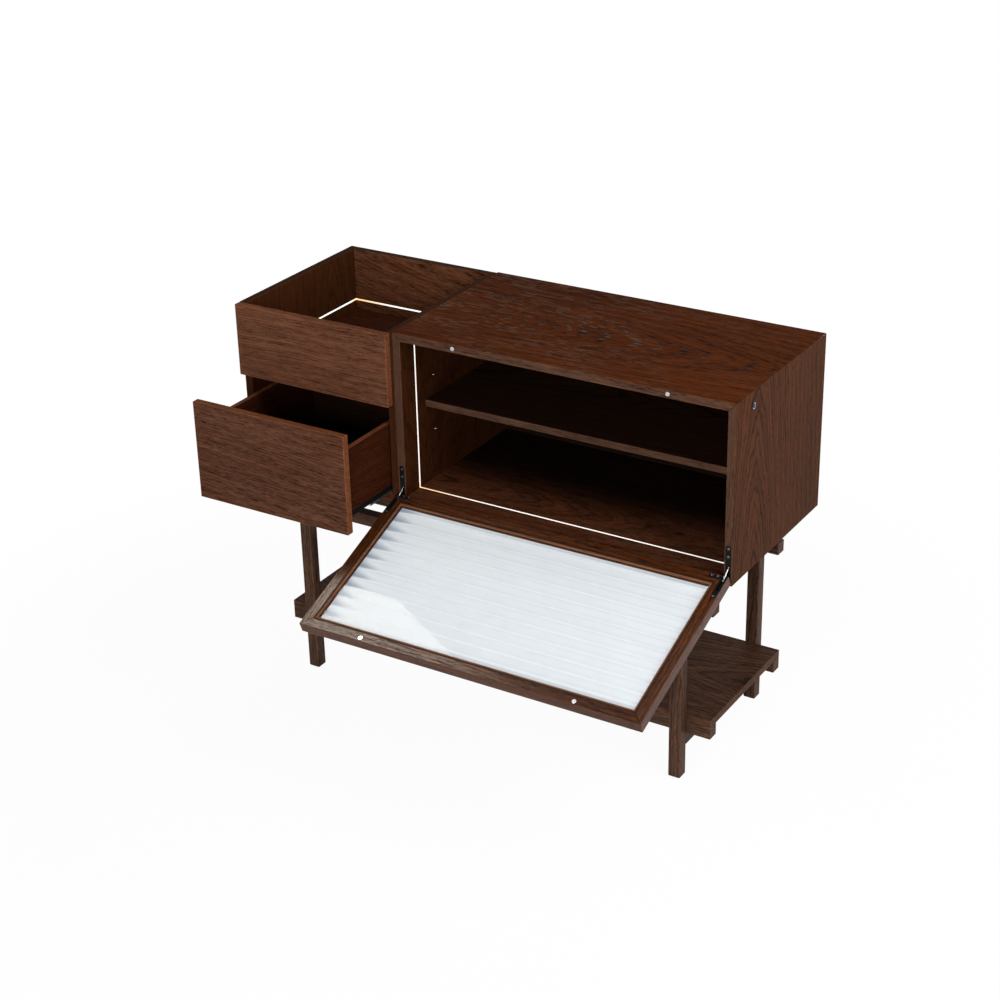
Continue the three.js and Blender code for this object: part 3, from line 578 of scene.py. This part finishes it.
def screw_head(centre, axis, diameter, spin):
    """A domed head with a cross recess.

    Height over the plate = crown x (1 - r squared) + rim less the recess, which is deep where a point is close to
    either of two crossed bars and falls away towards their ends; the last ring carries the rim down into the plate.
    """
    radius = 0.5 * diameter
    share = np.array([0.0, 0.12, 0.22, 0.32, 0.42, 0.52, 0.62, 0.72, 0.82, 0.92, 1.0, 1.0])
    angle = np.linspace(0.0, 2.0 * math.pi, 48, endpoint=False)
    r, a = np.meshgrid(share, angle, indexing="ij")
    u, v = r * np.cos(a - spin), r * np.sin(a - spin)
    # As shares of the radius: heights over the plate, half a bar's width and half its length, and their slopes.
    crown, rim, deep, sunk = 0.20, 0.10, 0.26, -0.2
    half_width, side_slope, half_length, end_slope = 0.17, 0.06, 0.70, 0.18
    bar = np.maximum(*(np.clip((half_width - np.abs(way)) / side_slope, 0.0, 1.0) for way in (u, v)))
    recess = bar * np.clip((half_length - r) / end_slope, 0.0, 1.0)
    rise = crown * (1.0 - r ** 2) + rim - deep * recess
    rise[-1] = sunk
    first, second = side_axes(axis)
    points = (np.asarray(centre) + radius * (rise[..., None] * np.asarray(axis, float)
              + (r * np.cos(a))[..., None] * first + (r * np.sin(a))[..., None] * second))
    return points.reshape(-1, 3), ring_faces(len(share), len(angle))


def joined(parts):
    """Several (points, quads) as one."""
    starts = np.cumsum([0] + [len(points) for points, _ in parts[:-1]])
    return (np.concatenate([points for points, _ in parts]),
            np.concatenate([quads + start for (_, quads), start in zip(parts, starts)]))


def placed(name, data):
    """A new object in the scene that holds the data."""
    made = bpy.data.objects.new(name, data)
    bpy.context.scene.collection.objects.link(made)
    return made


def stand_at(thing, place, *axes):
    """Puts a lamp or the camera at a place, with those directions as its right, its up and its back."""
    turn = np.stack(axes, axis=1)
    thing.matrix_world = Matrix.Translation(place) @ Matrix(turn.tolist()).to_4x4()


def new_piece(name, points, faces, body, slot, material, replaces=()):
    """Makes a mesh of points and quads, closes its poles, and says what it rides on and stands for."""
    mesh = bpy.data.meshes.new(name)
    mesh.from_pydata(points.tolist(), [], faces.tolist())
    form = bmesh.new()
    form.from_mesh(mesh)
    bmesh.ops.remove_doubles(form, verts=form.verts, dist=MERGE)
    bmesh.ops.recalc_face_normals(form, faces=form.faces)
    form.to_mesh(mesh)
    form.free()
    mesh.shade_smooth()
    mesh.set_sharp_from_angle(angle=SHARP)
    mesh.materials.append(material)
    made = placed(name, mesh)
    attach(made, body)
    if replaces:
        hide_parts(*replaces)


# Pieces

class CREDENZA_OT_stand(Operator):
    """Stains the legs, rails, beams and shelf of the stand"""

    bl_idname = "credenza.stand"
    bl_label = "Stand"

    def execute(self, context):
        oaks = context.scene.credenza_oak
        solid = Stain(oaks.stand_stain, None, oaks.dark_fleck, 0.5, 0.4, 0.8, 0.05)
        board = Stain(oaks.shelf_stain, oaks.stand_stain, oaks.dark_fleck, 0.6, 0.4, 1.1, 0.02)
        stain_boards("leg_front_left leg_front_right leg_rear_left leg_rear_right",
                     Cut("ZXY", 1.3, 0.9, 0.3, 0.02), solid)
        stain_boards("lower_cross_rail_left lower_cross_rail_right upper_cross_rail_left upper_cross_rail_right",
                     Cut("YZX", 2.9, 0.8, 0.3, 0.03), solid)
        stain_boards("lower_long_rail_front lower_long_rail_rear upper_beam_front upper_beam_rear"
                     " top_rail_front top_rail_rear", Cut("XZY", 3.7, 0.9, 0.3, 0.02), solid)
        stain_boards("lower_shelf", Cut("XYZ", 4.1, 0.20, 0.03, -0.10), board)
        return {"FINISHED"}


class CREDENZA_OT_bin(Operator):
    """Stains the left module: its sides, back, floors and bin front"""

    bl_idname = "credenza.bin"
    bl_label = "Bin module"

    def execute(self, context):
        oaks = context.scene.credenza_oak
        side = Stain(oaks.side_stain, oaks.rim_stain, oaks.dark_fleck, 0.4, 0.20, 0.4, 0.003, rings=0.3)
        # The tan flecks of the back and the front are painted sheen in the pores.
        back = Stain(oaks.back_stain, oaks.rim_stain, oaks.tan_sheen_fleck, 0.60, 0.16, 1.10, 0.005)
        inner = Stain(oaks.inner_stain, oaks.inner_stain, oaks.dark_fleck, 0.5, 0.25, 0.6, 0.02)
        front = Stain(oaks.front_stain, oaks.edge_stain, oaks.tan_sheen_fleck, 0.42, 0.14, 0.85, 0.006)
        stain_boards("bin_left_side bin_right_side", Cut("ZYX", 5.2, 0.30, 0.55, 0.12), side)
        stain_boards("bin_back", Cut("XZY", 6.8, 0.45, 0.05, 0.34, 0.008, (30.0, 150.0)), back)
        stain_boards("bin_floor drawer_bay_bottom", Cut("XYZ", 7.1, 0.20, -0.60, 0.12), inner)
        stain_boards("bin_front", Cut("XZY", 8.3, 1.15, 0.20, 0.06, 0.0054, (42.0, 260.0)), front)
        stain_outside("bin_back", inner._replace(tone=0.7))
        return {"FINISHED"}


class CREDENZA_OT_cabinet(Operator):
    """Stains the right module: its top, sides, bottom, back and shelf"""

    bl_idname = "credenza.cabinet"
    bl_label = "Cabinet module"

    def execute(self, context):
        oaks = context.scene.credenza_oak
        # The top's pale flecks are painted sheen in its pores.
        top = Stain(oaks.top_stain, oaks.case_edge_stain, oaks.pale_sheen_fleck, 0.85, 0.03, 1.0, 0.003)
        side = Stain(oaks.side_stain, oaks.case_edge_stain, oaks.dark_fleck, 0.95, 0.40, 0.8, 0.015)
        inner = Stain(oaks.inner_stain, oaks.case_edge_stain, oaks.dark_fleck, 0.5, 0.25, 0.7, 0.02)
        sides = Cut("ZYX", 10.6, 0.07, -0.56, 0.10)
        stain_boards("cabinet_top", Cut("XYZ", 9.4, 0.165, -0.84, 0.140, 0.0068, (36.0, 240.0), (0.0, 0.60)), top)
        stain_boards("cabinet_left_side", sides, side._replace(fleck_amount=0.4, tone=0.45, rings=0.3))
        stain_boards("cabinet_right_side", sides._replace(seed=10.97), side)
        stain_boards("cabinet_bottom", Cut("XYZ", 11.2, 0.10, -0.46, 0.11), inner._replace(tone=1.0))
        # Painted shade: the back's inner face and the shelf get dark grounds where shade falls deep in the cabinet.
        stain_boards("cabinet_back", Cut("XZY", 12.5, 0.60, -0.30, 0.10), inner._replace(ground=oaks.dim_stain_and_shade))
        stain_boards("cabinet_shelf", Cut("XYZ", 13.9, 0.30, -0.60, 0.08), inner._replace(ground=oaks.deep_stain_and_shade))
        stain_outside("cabinet_back", inner)
        self.paint_floor_light_and_shade(oaks)
        return {"FINISHED"}

    @staticmethod
    def paint_floor_light_and_shade(oaks):
        """Paints light and shade: the floor's stain and flecks go from lit to painted shade between 9 and 26 cm
        behind its front.
        """
        tree, grain = oak_of("cabinet_bottom")
        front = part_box("cabinet_bottom")[0].y
        floor_shade = ease(coordinate(tree).axes()["Y"], front + 0.09, front + 0.26)
        join(grain, Ground=blend(floor_shade, oaks.floor_stain_and_light, oaks.dim_stain_and_shade),
             Fleck=blend(floor_shade, oaks.tan_sheen_fleck, oaks.dark_fleck))


class CREDENZA_OT_drawer(Operator):
    """Stains the drawer's front and box"""

    bl_idname = "credenza.drawer"
    bl_label = "Drawer"

    def execute(self, context):
        oaks = context.scene.credenza_oak
        # The front's tan flecks are painted sheen in its pores.
        front = Stain(oaks.drawer_stain, oaks.edge_stain, oaks.tan_sheen_fleck, 0.42, 0.14, 0.85, 0.006)
        inner = Stain(oaks.box_stain, oaks.edge_stain, oaks.dark_fleck, 0.4, 0.25, 0.5, 0.01, rings=0.3)
        # Painted shade: the back and the bottom of the drawer get a dark ground inside the box.
        deep = inner._replace(ground=oaks.deep_stain_and_shade)
        stain_boards("drawer_front", Cut("XZY", 14.2, 0.40, 0.42, 0.13, 0.0060, (42.0, 260.0)), front)
        stain_boards("drawer_left_side drawer_right_side", Cut("YZX", 15.7, 0.40, 0.42, 0.06), inner)
        stain_boards("drawer_back", Cut("XZY", 16.3, 0.45, 0.10, 0.05), deep)
        stain_boards("drawer_bottom", Cut("XYZ", 17.8, 0.10, -0.45, 0.08), deep)
        return {"FINISHED"}


class CREDENZA_OT_flap(Operator):
    """Stains the flap's mitred frame and its glazing bead"""

    bl_idname = "credenza.flap"
    bl_label = "Flap frame"

    def execute(self, context):
        oaks = context.scene.credenza_oak
        solid = Stain(oaks.flap_stain, None, oaks.dark_fleck, 0.6, 0.6, 0.9, 0.12, 0.11)
        bead = Stain(oaks.bead_stain, None, oaks.dark_fleck, 0.2, 0.2, 0.4, 0.05)
        stain_boards("flap_bottom_rail flap_top_rail", Cut("XZY", 18.4, 0.9, 0.6, 0.03), solid, leaning=True)
        stain_boards("flap_left_stile flap_right_stile", Cut("ZXY", 19.6, 1.4, 0.6, 0.03), solid, leaning=True)
        stain_boards("glazing_bead", Cut("XZY", 20.5, 0.9, 0.6, 0.03), bead, leaning=True)
        self.shade_seam(context.scene.credenza_fittings.bead_seam)
        return {"FINISHED"}

    @staticmethod
    def shade_seam(width):
        """Darkens the bead's outer side, which lies in the shade of the frame's rebate."""
        tree, grain = oak_of("glazing_bead")
        low, high = (tuple(corner) for corner in upright_box("glazing_bead"))
        place = stood_up(coordinate(tree))
        inside = least(place - low, high - place).axes()
        lit = ease(least(inside["X"], inside["Z"]), 0.7 * width, width, 0.12, 1.0)
        join(tree.nodes["Principled BSDF"], Base_Color=Wire(grain, "Color") * lit)


class CREDENZA_OT_pane(Operator):
    """Makes the clear pane: it mirrors by Fresnel and lets the rest of the light through"""

    bl_idname = "credenza.pane"
    bl_label = "Clear pane"

    def execute(self, context):
        fittings = context.scene.credenza_fittings
        material, tree, shader = new_material("Clear pane")
        smear = ease(noise(coordinate(tree), 9.0), 0.4, 0.75, 0.02, 0.06)
        join(shader, Base_Color=fittings.glass_shine, Metallic=1.0, Roughness=smear)
        clear = add(tree, "BsdfTransparent", Color=fittings.glass)
        outside = 1.0 - Wire(add(tree, "NewGeometry"), "Backfacing")
        mirror = Wire(add(tree, "Fresnel", IOR=1.15)) * outside
        join(tree.nodes["Material Output"], Surface=mix_shaders(mirror, clear, shader))
        dress(material, "clear_pane")
        return {"FINISHED"}


class CREDENZA_OT_panel(Operator):
    """Makes the fluted opal panel, a wavy profile carried along the hinge"""

    bl_idname = "credenza.panel"
    bl_label = "Fluted panel"

    def execute(self, context):
        fittings = context.scene.credenza_fittings
        low, high = flap_box("fluted_panel")
        start = low[1] + fittings.panel_held
        pitch = (high[1] - low[1] - 2.0 * fittings.panel_held) / fittings.flutes
        points, faces = self.fluted_sheet(low, high, start, pitch, fittings)
        material = self.opal(low, start, pitch, fittings)
        new_piece("opal_fluted_panel", points, faces, "flap", "opal_panel", material, replaces=("fluted_panel",))
        return {"FINISHED"}

    @staticmethod
    def fluted_sheet(low, high, start, pitch, fittings):
        """Upper face = lower face + sheet; both swing by half of (1 - cosine of the turns from start) x the rise."""
        sheet, steps_per_flute = fittings.panel_sheet, 24
        run = np.linspace(low[1], high[1], fittings.flutes * steps_per_flute + 1)
        swing = (high[2] - low[2] - sheet) * (0.5 - 0.5 * np.cos(2.0 * math.pi * (run - start) / pitch))
        lower = np.stack([run, low[2] + swing], axis=1)
        upper = np.stack([run, low[2] + sheet + swing], axis=1)
        profile = np.concatenate([upper, lower[::-1]])
        count = len(profile)
        local = np.empty((2, count, 3))
        local[..., 0] = np.array((low[0], high[0]))[:, None]
        local[..., 1:] = profile
        # An end is closed by strips between the two wavy edges.
        column = np.arange(len(run) - 1)
        strip = np.stack([column, column + 1, count - 2 - column, count - 1 - column], axis=1)
        return (local.reshape(-1, 3) @ FLAP_AXES,
                np.concatenate([ring_faces(2, count), strip, strip[:, ::-1] + count]))

    @staticmethod
    def opal(low, start, pitch, fittings):
        """Opal sheet softly shaded by its flutes, with a painted glow for daylight through it and painted shade by
        the stile.
        """
        material, tree, shader = new_material("Opal panel")
        place, normal = coordinate(tree), coordinate(tree, "Normal")
        cloud = noise(place, 14.0, seed=3.0)
        axes = stood_up(place).axes()
        # Painted shade: next to the stile the sheet is greyer, over 12 mm on a crest and 57 mm in a hollow.
        hollow = maths("COSINE", (axes["Z"] - start) * (2.0 * math.pi / pitch)) * 0.5 + 0.5
        reach = hollow * 0.045 + 0.012
        near = ease((axes["X"] - (low[0] + fittings.panel_held)) / reach, 0.0, 1.0, 1.0, 0.0)
        end_shade = near * (hollow * 0.8 + 0.2)
        # Painted glow, for light from behind, shows on slopes that face the hinge, half as much on the outer face,
        # and by the rail.
        inner = maths("GREATER_THAN", maths("DOT_PRODUCT", normal, tuple(FLAP_AXES[2])), 0.0)
        uphill = maths("DOT_PRODUCT", normal, tuple(FLAP_AXES[1]))
        fill_glow = most(uphill * -1.0, 0.0) * ((1.0 - near) * (inner * 0.5 + 0.5))
        beside = ease(axes["Z"], start, start + 0.024, 1.0, 0.0) * inner
        sheet_tone = ease(cloud, 0.3, 0.7, 0.985, 1.01)
        glow_tone = sheet_tone * (fill_glow * fittings.slope_painted_glow + beside * 0.4 + 1.0)
        # The base colour and the painted glow both take the painted shade by the stile.
        for socket, full, tone in (("Base Color", fittings.opal, sheet_tone),
                                   ("Emission Color", fittings.opal_glow, glow_tone)):
            end_shaded = [part * share for part, share in zip(full, fittings.opal_end_shade)]
            put(shader.inputs[socket], blend(end_shade, full, end_shaded) * tone)
        # Light spreads inside the sheet, so the flutes shade as if they were only a share as steep.
        lean = maths("MULTIPLY", tuple(FLAP_AXES[1]), uphill * (1.0 - fittings.flute_shade))
        to_world = {"vector_type": "NORMAL", "convert_from": "OBJECT", "convert_to": "WORLD"}
        softened = add(tree, "VectorTransform", to_world, Vector=normal - lean)
        join(shader, Roughness=ease(cloud, 0.3, 0.7, 0.36, 0.44), Normal=Wire(softened), Specular_IOR_Level=0.2,
             Emission_Strength=1.0, Subsurface_Weight=1.0, Subsurface_Scale=0.006,
             Subsurface_Radius=(1.0, 1.0, 1.0))
        return material


class CREDENZA_OT_lights(Operator):
    """Lights the strips in the bin and in the cabinet, warmer where their diodes sit"""

    bl_idname = "credenza.lights"
    bl_label = "Light strips"

    def execute(self, context):
        fittings = context.scene.credenza_fittings
        # The diodes sit in one corner of each strip; the warm light reaches this far from it on each axis.
        strips = (("bin_light_strip", (0.12, 0.03, 1.0), "Z"), ("cabinet_light_strip", (0.16, 1.0, 0.02), "Y"))
        for node, reach, across in strips:
            low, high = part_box(node)
            material, tree, shader = new_material(node.replace("_", " ").capitalize())
            place = coordinate(tree)
            gone = maths("LENGTH", (place - (low.x, high.y, low.z)) / reach)
            lit = blend(ease(gone, 0.1, 1.0, 1.0, 0.0), fittings.light, fittings.warm_light)
            # Only the middle of the diffuser is lit; its rims sit in a dark channel.
            middle = 0.5 * (low + high)["XYZ".index(across)]
            off = maths("ABSOLUTE", place.axes()[across] - middle)
            lit = blend(ease(off, 0.45 * fittings.lit, 0.55 * fittings.lit), lit, fittings.plastic)
            join(shader, Base_Color=lit, Emission_Color=lit, Emission_Strength=fittings.glow, Roughness=0.5)
            dress(material, node)
        return {"FINISHED"}


class CREDENZA_OT_hardware(Operator):
    """Finishes the slides, hinge plates, links and the light's driver, and sets the hinge screws"""

    bl_idname = "credenza.hardware"
    bl_label = "Slides and hinges"

    def execute(self, context):
        fittings = context.scene.credenza_fittings
        black = metal("Black metal", fittings.black, 0.34, 0.2, 300.0, metallic=0.0, shine=0.06)
        zinc = metal("Zinc steel", fittings.zinc, 0.36, 0.2, (30.0, 30.0, 500.0))
        bright = metal("Bright steel", fittings.steel, 0.20, 0.12, 60.0)
        plastic = metal("Black plastic", fittings.plastic, 0.5, 0.15, 700.0, metallic=0.0, shine=0.2)
        dress(plastic, "light_driver")
        near, far = (np.array(joint(name)["pos_m"]) for name in ("link_swing", "flap_swing"))
        for side in SIDES:
            dress(black, "slide_channel_" + side, "slide_rail_" + side, "hinge_case_plate_" + side,
                  "hinge_flap_plate_" + side)
            dress(zinc, "slide_runner_" + side)
            low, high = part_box("hinge_link_" + side)
            near[0] = far[0] = 0.5 * (low.x + high.x)
            pins = [turned(pin_profile(high.x - low.x, fittings.pin), (low.x, *place[1:]), X_AXIS, 24)
                    for place in (near, far)]
            bar = link_bar(near, far, fittings.link_eye, fittings.link_waist, fittings.link_thick)
            new_piece("link_bar_" + side, *joined([bar, *pins]), "hinge_links", "bright_steel", bright,
                      replaces=("hinge_link_" + side,))
        self.set_screws(fittings)
        return {"FINISHED"}

    @staticmethod
    def set_screws(fittings):
        """Sets two screws in each case plate, and one in the tongue and two in the foot of each flap plate."""
        steel = metal("Screw steel", fittings.screw_steel, 0.28, 0.15, 200.0)
        edge, foot, step = 0.006, 0.0045, 0.013  # in from the tongue's edges, up from the foot's, and apart
        case_screws, flap_screws = [], []
        for side, inward in zip(SIDES, (1.0, -1.0)):
            low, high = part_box("hinge_case_plate_" + side)
            for share, spin in ((0.90, 0.4), (0.67, 1.1)):
                place = (0.5 * (low.x + high.x), low.y, low.z + share * (high.z - low.z))
                case_screws.append(screw_head(place, (0.0, -1.0, 0.0), fittings.screw, spin))
            low, high = flap_box("hinge_flap_plate_" + side)
            tongue = low[0] + edge if inward > 0 else high[0] - edge
            for x, run, spin in ((tongue, high[1] - edge, 0.7), (tongue + inward * step, low[1] + foot, 0.2),
                                 (tongue + inward * 2.0 * step, low[1] + foot, 1.3)):
                place = np.array((x, run, high[2])) @ FLAP_AXES
                flap_screws.append(screw_head(place, FLAP_AXES[2], fittings.screw, spin))
        new_piece("hinge_case_screws", *joined(case_screws), "carcass", "black_metal", steel)
        new_piece("hinge_flap_screws", *joined(flap_screws), "flap", "black_metal", steel)


class CREDENZA_OT_fittings(Operator):
    """Turns the catches, the strikes, the shelf pins' sleeves and the light's push switch"""

    bl_idname = "credenza.fittings"
    bl_label = "Catches, sleeves and switch"

    def execute(self, context):
        fittings = context.scene.credenza_fittings
        bright = bpy.data.materials["Bright steel"]
        self.turn_catches(bright)
        self.turn_sleeves(fittings, bright)
        self.turn_switch(fittings)
        return {"FINISHED"}

    @staticmethod
    def turn_catches(bright):
        """A cup with a rolled rim round a sunk, slightly domed magnet, and a dished disc in the flap for each."""
        for side in SIDES:
            low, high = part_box("catch_magnet_" + side)
            radius = 0.5 * (high.x - low.x)
            middle = (0.5 * (low.x + high.x), low.y, 0.5 * (low.z + high.z))
            deep = high.y - low.y
            cup = [(deep, 0.0), (deep, radius), (0.0006, radius), (0.0, radius * 0.93), (0.0, radius * 0.80),
                   (0.0007, radius * 0.74), (0.0007, radius * 0.66), (0.0003, radius * 0.60),
                   (0.0001, radius * 0.3), (0.0, 0.0)]
            new_piece("catch_cup_" + side, *turned(cup, middle, Y_AXIS), "carcass", "bright_steel", bright,
                      replaces=("catch_magnet_" + side,))
            low, high = flap_box("catch_strike_" + side)
            radius = 0.5 * (high[0] - low[0])
            middle = np.array((0.5 * (low[0] + high[0]), 0.5 * (low[1] + high[1]), high[2])) @ FLAP_AXES
            deep = high[2] - low[2]
            disc = [(-deep, 0.0), (-deep, radius), (-0.0006, radius), (0.0, radius * 0.88), (0.0, radius * 0.40),
                    (-0.0007, radius * 0.22), (-0.0007, 0.0)]
            new_piece("catch_disc_" + side, *turned(disc, middle, FLAP_AXES[2]), "flap", "bright_steel", bright,
                      replaces=("catch_strike_" + side,))

    @staticmethod
    def turn_sleeves(fittings, bright):
        """A thin rounded flange on the wall and a bore that goes into it, one pitch above and below each pin."""
        low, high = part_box("cabinet_shelf")
        left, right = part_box("cabinet_left_side")[0].x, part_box("cabinet_right_side")[1].x
        outer, bore = 0.5 * fittings.sleeve, 0.5 * fittings.sleeve_bore
        proud, thick, deep = 0.0004, 0.0012, 0.006
        flange = [(-deep, bore * 0.84), (0.0, bore * 0.84), (proud, bore), (proud, outer * 0.94), (0.0, outer),
                  (-thick, outer), (-thick, bore), (-deep, bore), (-deep, bore * 0.84)]
        pin_height = low.z - 0.0028  # half a pin and its play under the shelf
        sleeves = []
        for x, inward in ((left + BOARD, 1.0), (right - BOARD, -1.0)):
            for y in (low.y + fittings.pin_inset, high.y - fittings.pin_inset):
                for z in (pin_height - fittings.pin_pitch, pin_height + fittings.pin_pitch):
                    sleeves.append(turned(flange, (x, y, z), (inward, 0.0, 0.0), 24))
        new_piece("pin_sleeves", *joined(sleeves), "carcass", "bright_steel", bright)

    @staticmethod
    def turn_switch(fittings):
        """A ring on a barrel, steel near the button and black towards its rim, and a dished button in its bore."""
        low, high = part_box("switch_bezel")
        radius = 0.5 * (high.z - low.z)
        middle = (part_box("cabinet_right_side")[1].x, 0.5 * (low.y + high.y), 0.5 * (low.z + high.z))
        inner, proud = low.x - middle[0], high.x - middle[0]
        barrel, bore, well = 0.0065, 0.0053, -0.004
        ring = [(inner, 0.0), (inner, barrel), (0.0, barrel), (0.0, radius), (proud * 0.4, radius),
                (proud, radius * 0.86), (proud, bore * 1.16), (proud * 0.7, bore), (well, bore), (well, 0.0)]
        two_tone, tree, shader = new_material("Switch ring")
        place = coordinate(tree)
        dark = ease(maths("LENGTH", (place - middle) * (0.0, 1.0, 1.0)), 0.72 * radius, 0.80 * radius)
        join(shader, Base_Color=blend(dark, fittings.steel, fittings.black), Metallic=1.0 - dark,
             Roughness=ease(noise(place, 400.0), 0.3, 0.7, 0.2, 0.3), Specular_IOR_Level=0.12)
        new_piece("switch_ring", *turned(ring, middle, X_AXIS, 56), "carcass", "bright_steel", two_tone,
                  replaces=("switch_bezel",))
        low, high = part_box("switch_button")
        radius = 0.5 * (high.z - low.z)
        foot, tip = low.x - middle[0], high.x - middle[0]
        button = [(foot, 0.0), (foot, radius), (tip - 0.0009, radius), (tip - 0.0002, radius * 0.90),
                  (tip, radius * 0.78), (tip - 0.0004, radius * 0.45), (tip - 0.0005, 0.0)]
        new_piece("switch_cap", *turned(button, middle, X_AXIS, 48), "switch_button", "black_plastic",
                  bpy.data.materials["Black plastic"], replaces=("switch_button",))


class CREDENZA_OT_stage(Operator):
    """Lays the floor, sets the lamps and the sky, and places the camera"""

    bl_idname = "credenza.stage"
    bl_label = "Stage"

    # Where each lamp hangs, what it is turned to, its width and height, and its turn about its own axis.
    LAMPS = {
        "overhead": ((2.3, -0.2, 2.5), (0.2, 0.1, 0.7), (1.6, 1.6), 0.0),
        "front": ((1.0, -4.2, 1.7), (0.0, 0.0, 0.6), (2.0, 2.0), 0.0),
        "right": ((3.2, 1.3, 1.0), (0.4, 0.2, 0.6), (1.5, 1.5), 0.0),
        "left": ((-1.497, 0.083, 2.8), (-1.497, 0.083, 0.0), (1.0, 0.45), math.radians(64.5)),
        "back": ((-0.4, 4.2, 0.95), (0.0, 0.3, 0.6), (2.0, 1.4), 0.0),
        "end": ((-3.4, 0.7, 0.95), (-0.6, 0.2, 0.6), (1.5, 1.4), 0.0),
    }

    def execute(self, context):
        scene, stage = context.scene, context.scene.credenza_stage
        scene.view_settings.view_transform = "Standard"
        self.lay_floor(stage)
        self.light_sky(scene, stage)
        lamps = {name: self.hang_lamp(name.capitalize() + " lamp", getattr(stage, name), *setting)
                 for name, setting in self.LAMPS.items()}
        # The flap mirrors the left lamp, which shows in gloss alone; its rear edge draws the line where the sheen
        # on the pane and the frame ends.
        lamps["left"].data.color = stage.left_colour
        lamps["left"].visible_diffuse = False
        # These two light the sides away from the camera, and don't glare on the boards seen from the front.
        lamps["back"].visible_glossy = lamps["end"].visible_glossy = False
        self.place_camera(scene, stage)
        return {"FINISHED"}

    @staticmethod
    def background_rays(tree):
        """1 for a ray that should see the plain white background, straight, mirrored or through glass."""
        rays = partial(Wire, add(tree, "LightPath"))
        return most(most(rays("Is Camera Ray"), rays("Is Glossy Ray")), rays("Is Transmission Ray"))

    def lay_floor(self, stage):
        """A wide floor, plain white to the camera far off, with a share near the object left for its shadow."""
        reach = 30.0
        mesh = bpy.data.meshes.new("floor")
        mesh.from_pydata([(-reach, -reach, 0), (reach, -reach, 0), (reach, reach, 0), (-reach, reach, 0)], [],
                         [(0, 1, 2, 3)])
        floor = placed("floor", mesh)
        material = bpy.data.materials.new("Floor")
        tree = emptied(material)
        plain = ease(maths("LENGTH", coordinate(tree)), 0.9, 1.8, stage.floor_white, 1.0)
        matt = add(tree, "BsdfDiffuse", Color=stage.floor)
        white = add(tree, "Emission", Strength=1.0)
        add(tree, "OutputMaterial", Surface=mix_shaders(self.background_rays(tree) * plain, matt, white))
        mesh.materials.append(material)

    def light_sky(self, scene, stage):
        """White to the camera, mirrors and glass; dim to everything that it lights."""
        scene.world = bpy.data.worlds.new("Studio")
        tree = emptied(scene.world)
        strength = add(tree, "MapRange", Value=self.background_rays(tree), To_Min=stage.sky, To_Max=1.0)
        even = add(tree, "Background", Color=(1.0, 1.0, 1.0), Strength=Wire(strength))
        add(tree, "OutputWorld", Surface=Wire(even))

    @staticmethod
    def hang_lamp(name, watts, place, aim, size, turn):
        """A rectangular soft lamp, turned to its aim and then about its own axis."""
        data = bpy.data.lights.new(name, "AREA")
        data.shape = "RECTANGLE"
        data.size, data.size_y = size
        data.energy = watts
        lamp = placed(name, data)
        out = np.subtract(place, aim)
        out /= np.linalg.norm(out)
        first, second = side_axes(out)
        right = math.cos(turn) * first + math.sin(turn) * second
        stand_at(lamp, place, right, np.cross(out, right), out)
        return lamp

    @staticmethod
    def place_camera(scene, stage):
        """Turns the camera by yaw and pitch, then rolls it about its own axis."""
        ahead = math.cos(stage.pitch)
        forward = np.array((-math.sin(stage.yaw) * ahead, math.cos(stage.yaw) * ahead, math.sin(stage.pitch)))
        level = np.array((math.cos(stage.yaw), math.sin(stage.yaw), 0.0))
        upright = np.cross(level, forward)
        right = math.cos(stage.roll) * level + math.sin(stage.roll) * upright
        up = -math.sin(stage.roll) * level + math.cos(stage.roll) * upright
        data = bpy.data.cameras.new("Camera")
        data.sensor_fit = "HORIZONTAL"
        data.sensor_width = 36.0
        data.lens = stage.focal
        data.clip_end = 100.0
        scene.camera = placed("Camera", data)
        stand_at(scene.camera, stage.camera_place, right, up, -forward)


class CREDENZA_PT_sidebar(Panel):
    """Lists the credenza's pieces and its stage"""

    bl_label = "Credenza"
    bl_idname = "CREDENZA_PT_sidebar"
    bl_space_type = "VIEW_3D"
    bl_region_type = "UI"
    bl_category = "Credenza"

    def draw(self, context):
        for operator in OPERATORS:
            self.layout.operator(operator.bl_idname)


GROUPS = {"credenza_oak": CredenzaOak, "credenza_fittings": CredenzaFittings, "credenza_stage": CredenzaStage}
OPERATORS = (CREDENZA_OT_stand, CREDENZA_OT_bin, CREDENZA_OT_cabinet, CREDENZA_OT_drawer, CREDENZA_OT_flap,
             CREDENZA_OT_pane, CREDENZA_OT_panel, CREDENZA_OT_lights, CREDENZA_OT_hardware, CREDENZA_OT_fittings,
             CREDENZA_OT_stage)
CLASSES = (*GROUPS.values(), *OPERATORS, CREDENZA_PT_sidebar)


def register():
    for cls in CLASSES:
        bpy.utils.register_class(cls)
    for name, group in GROUPS.items():
        setattr(bpy.types.Scene, name, PointerProperty(type=group))


def unregister():
    for name in GROUPS:
        delattr(bpy.types.Scene, name)
    for cls in reversed(CLASSES):
        bpy.utils.unregister_class(cls)


def main():
    """Registers the classes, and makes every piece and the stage."""
    register()
    for operator in OPERATORS:
        getattr(bpy.ops.credenza, operator.bl_idname.split(".")[1])()


if __name__ == "__main__":
    main()
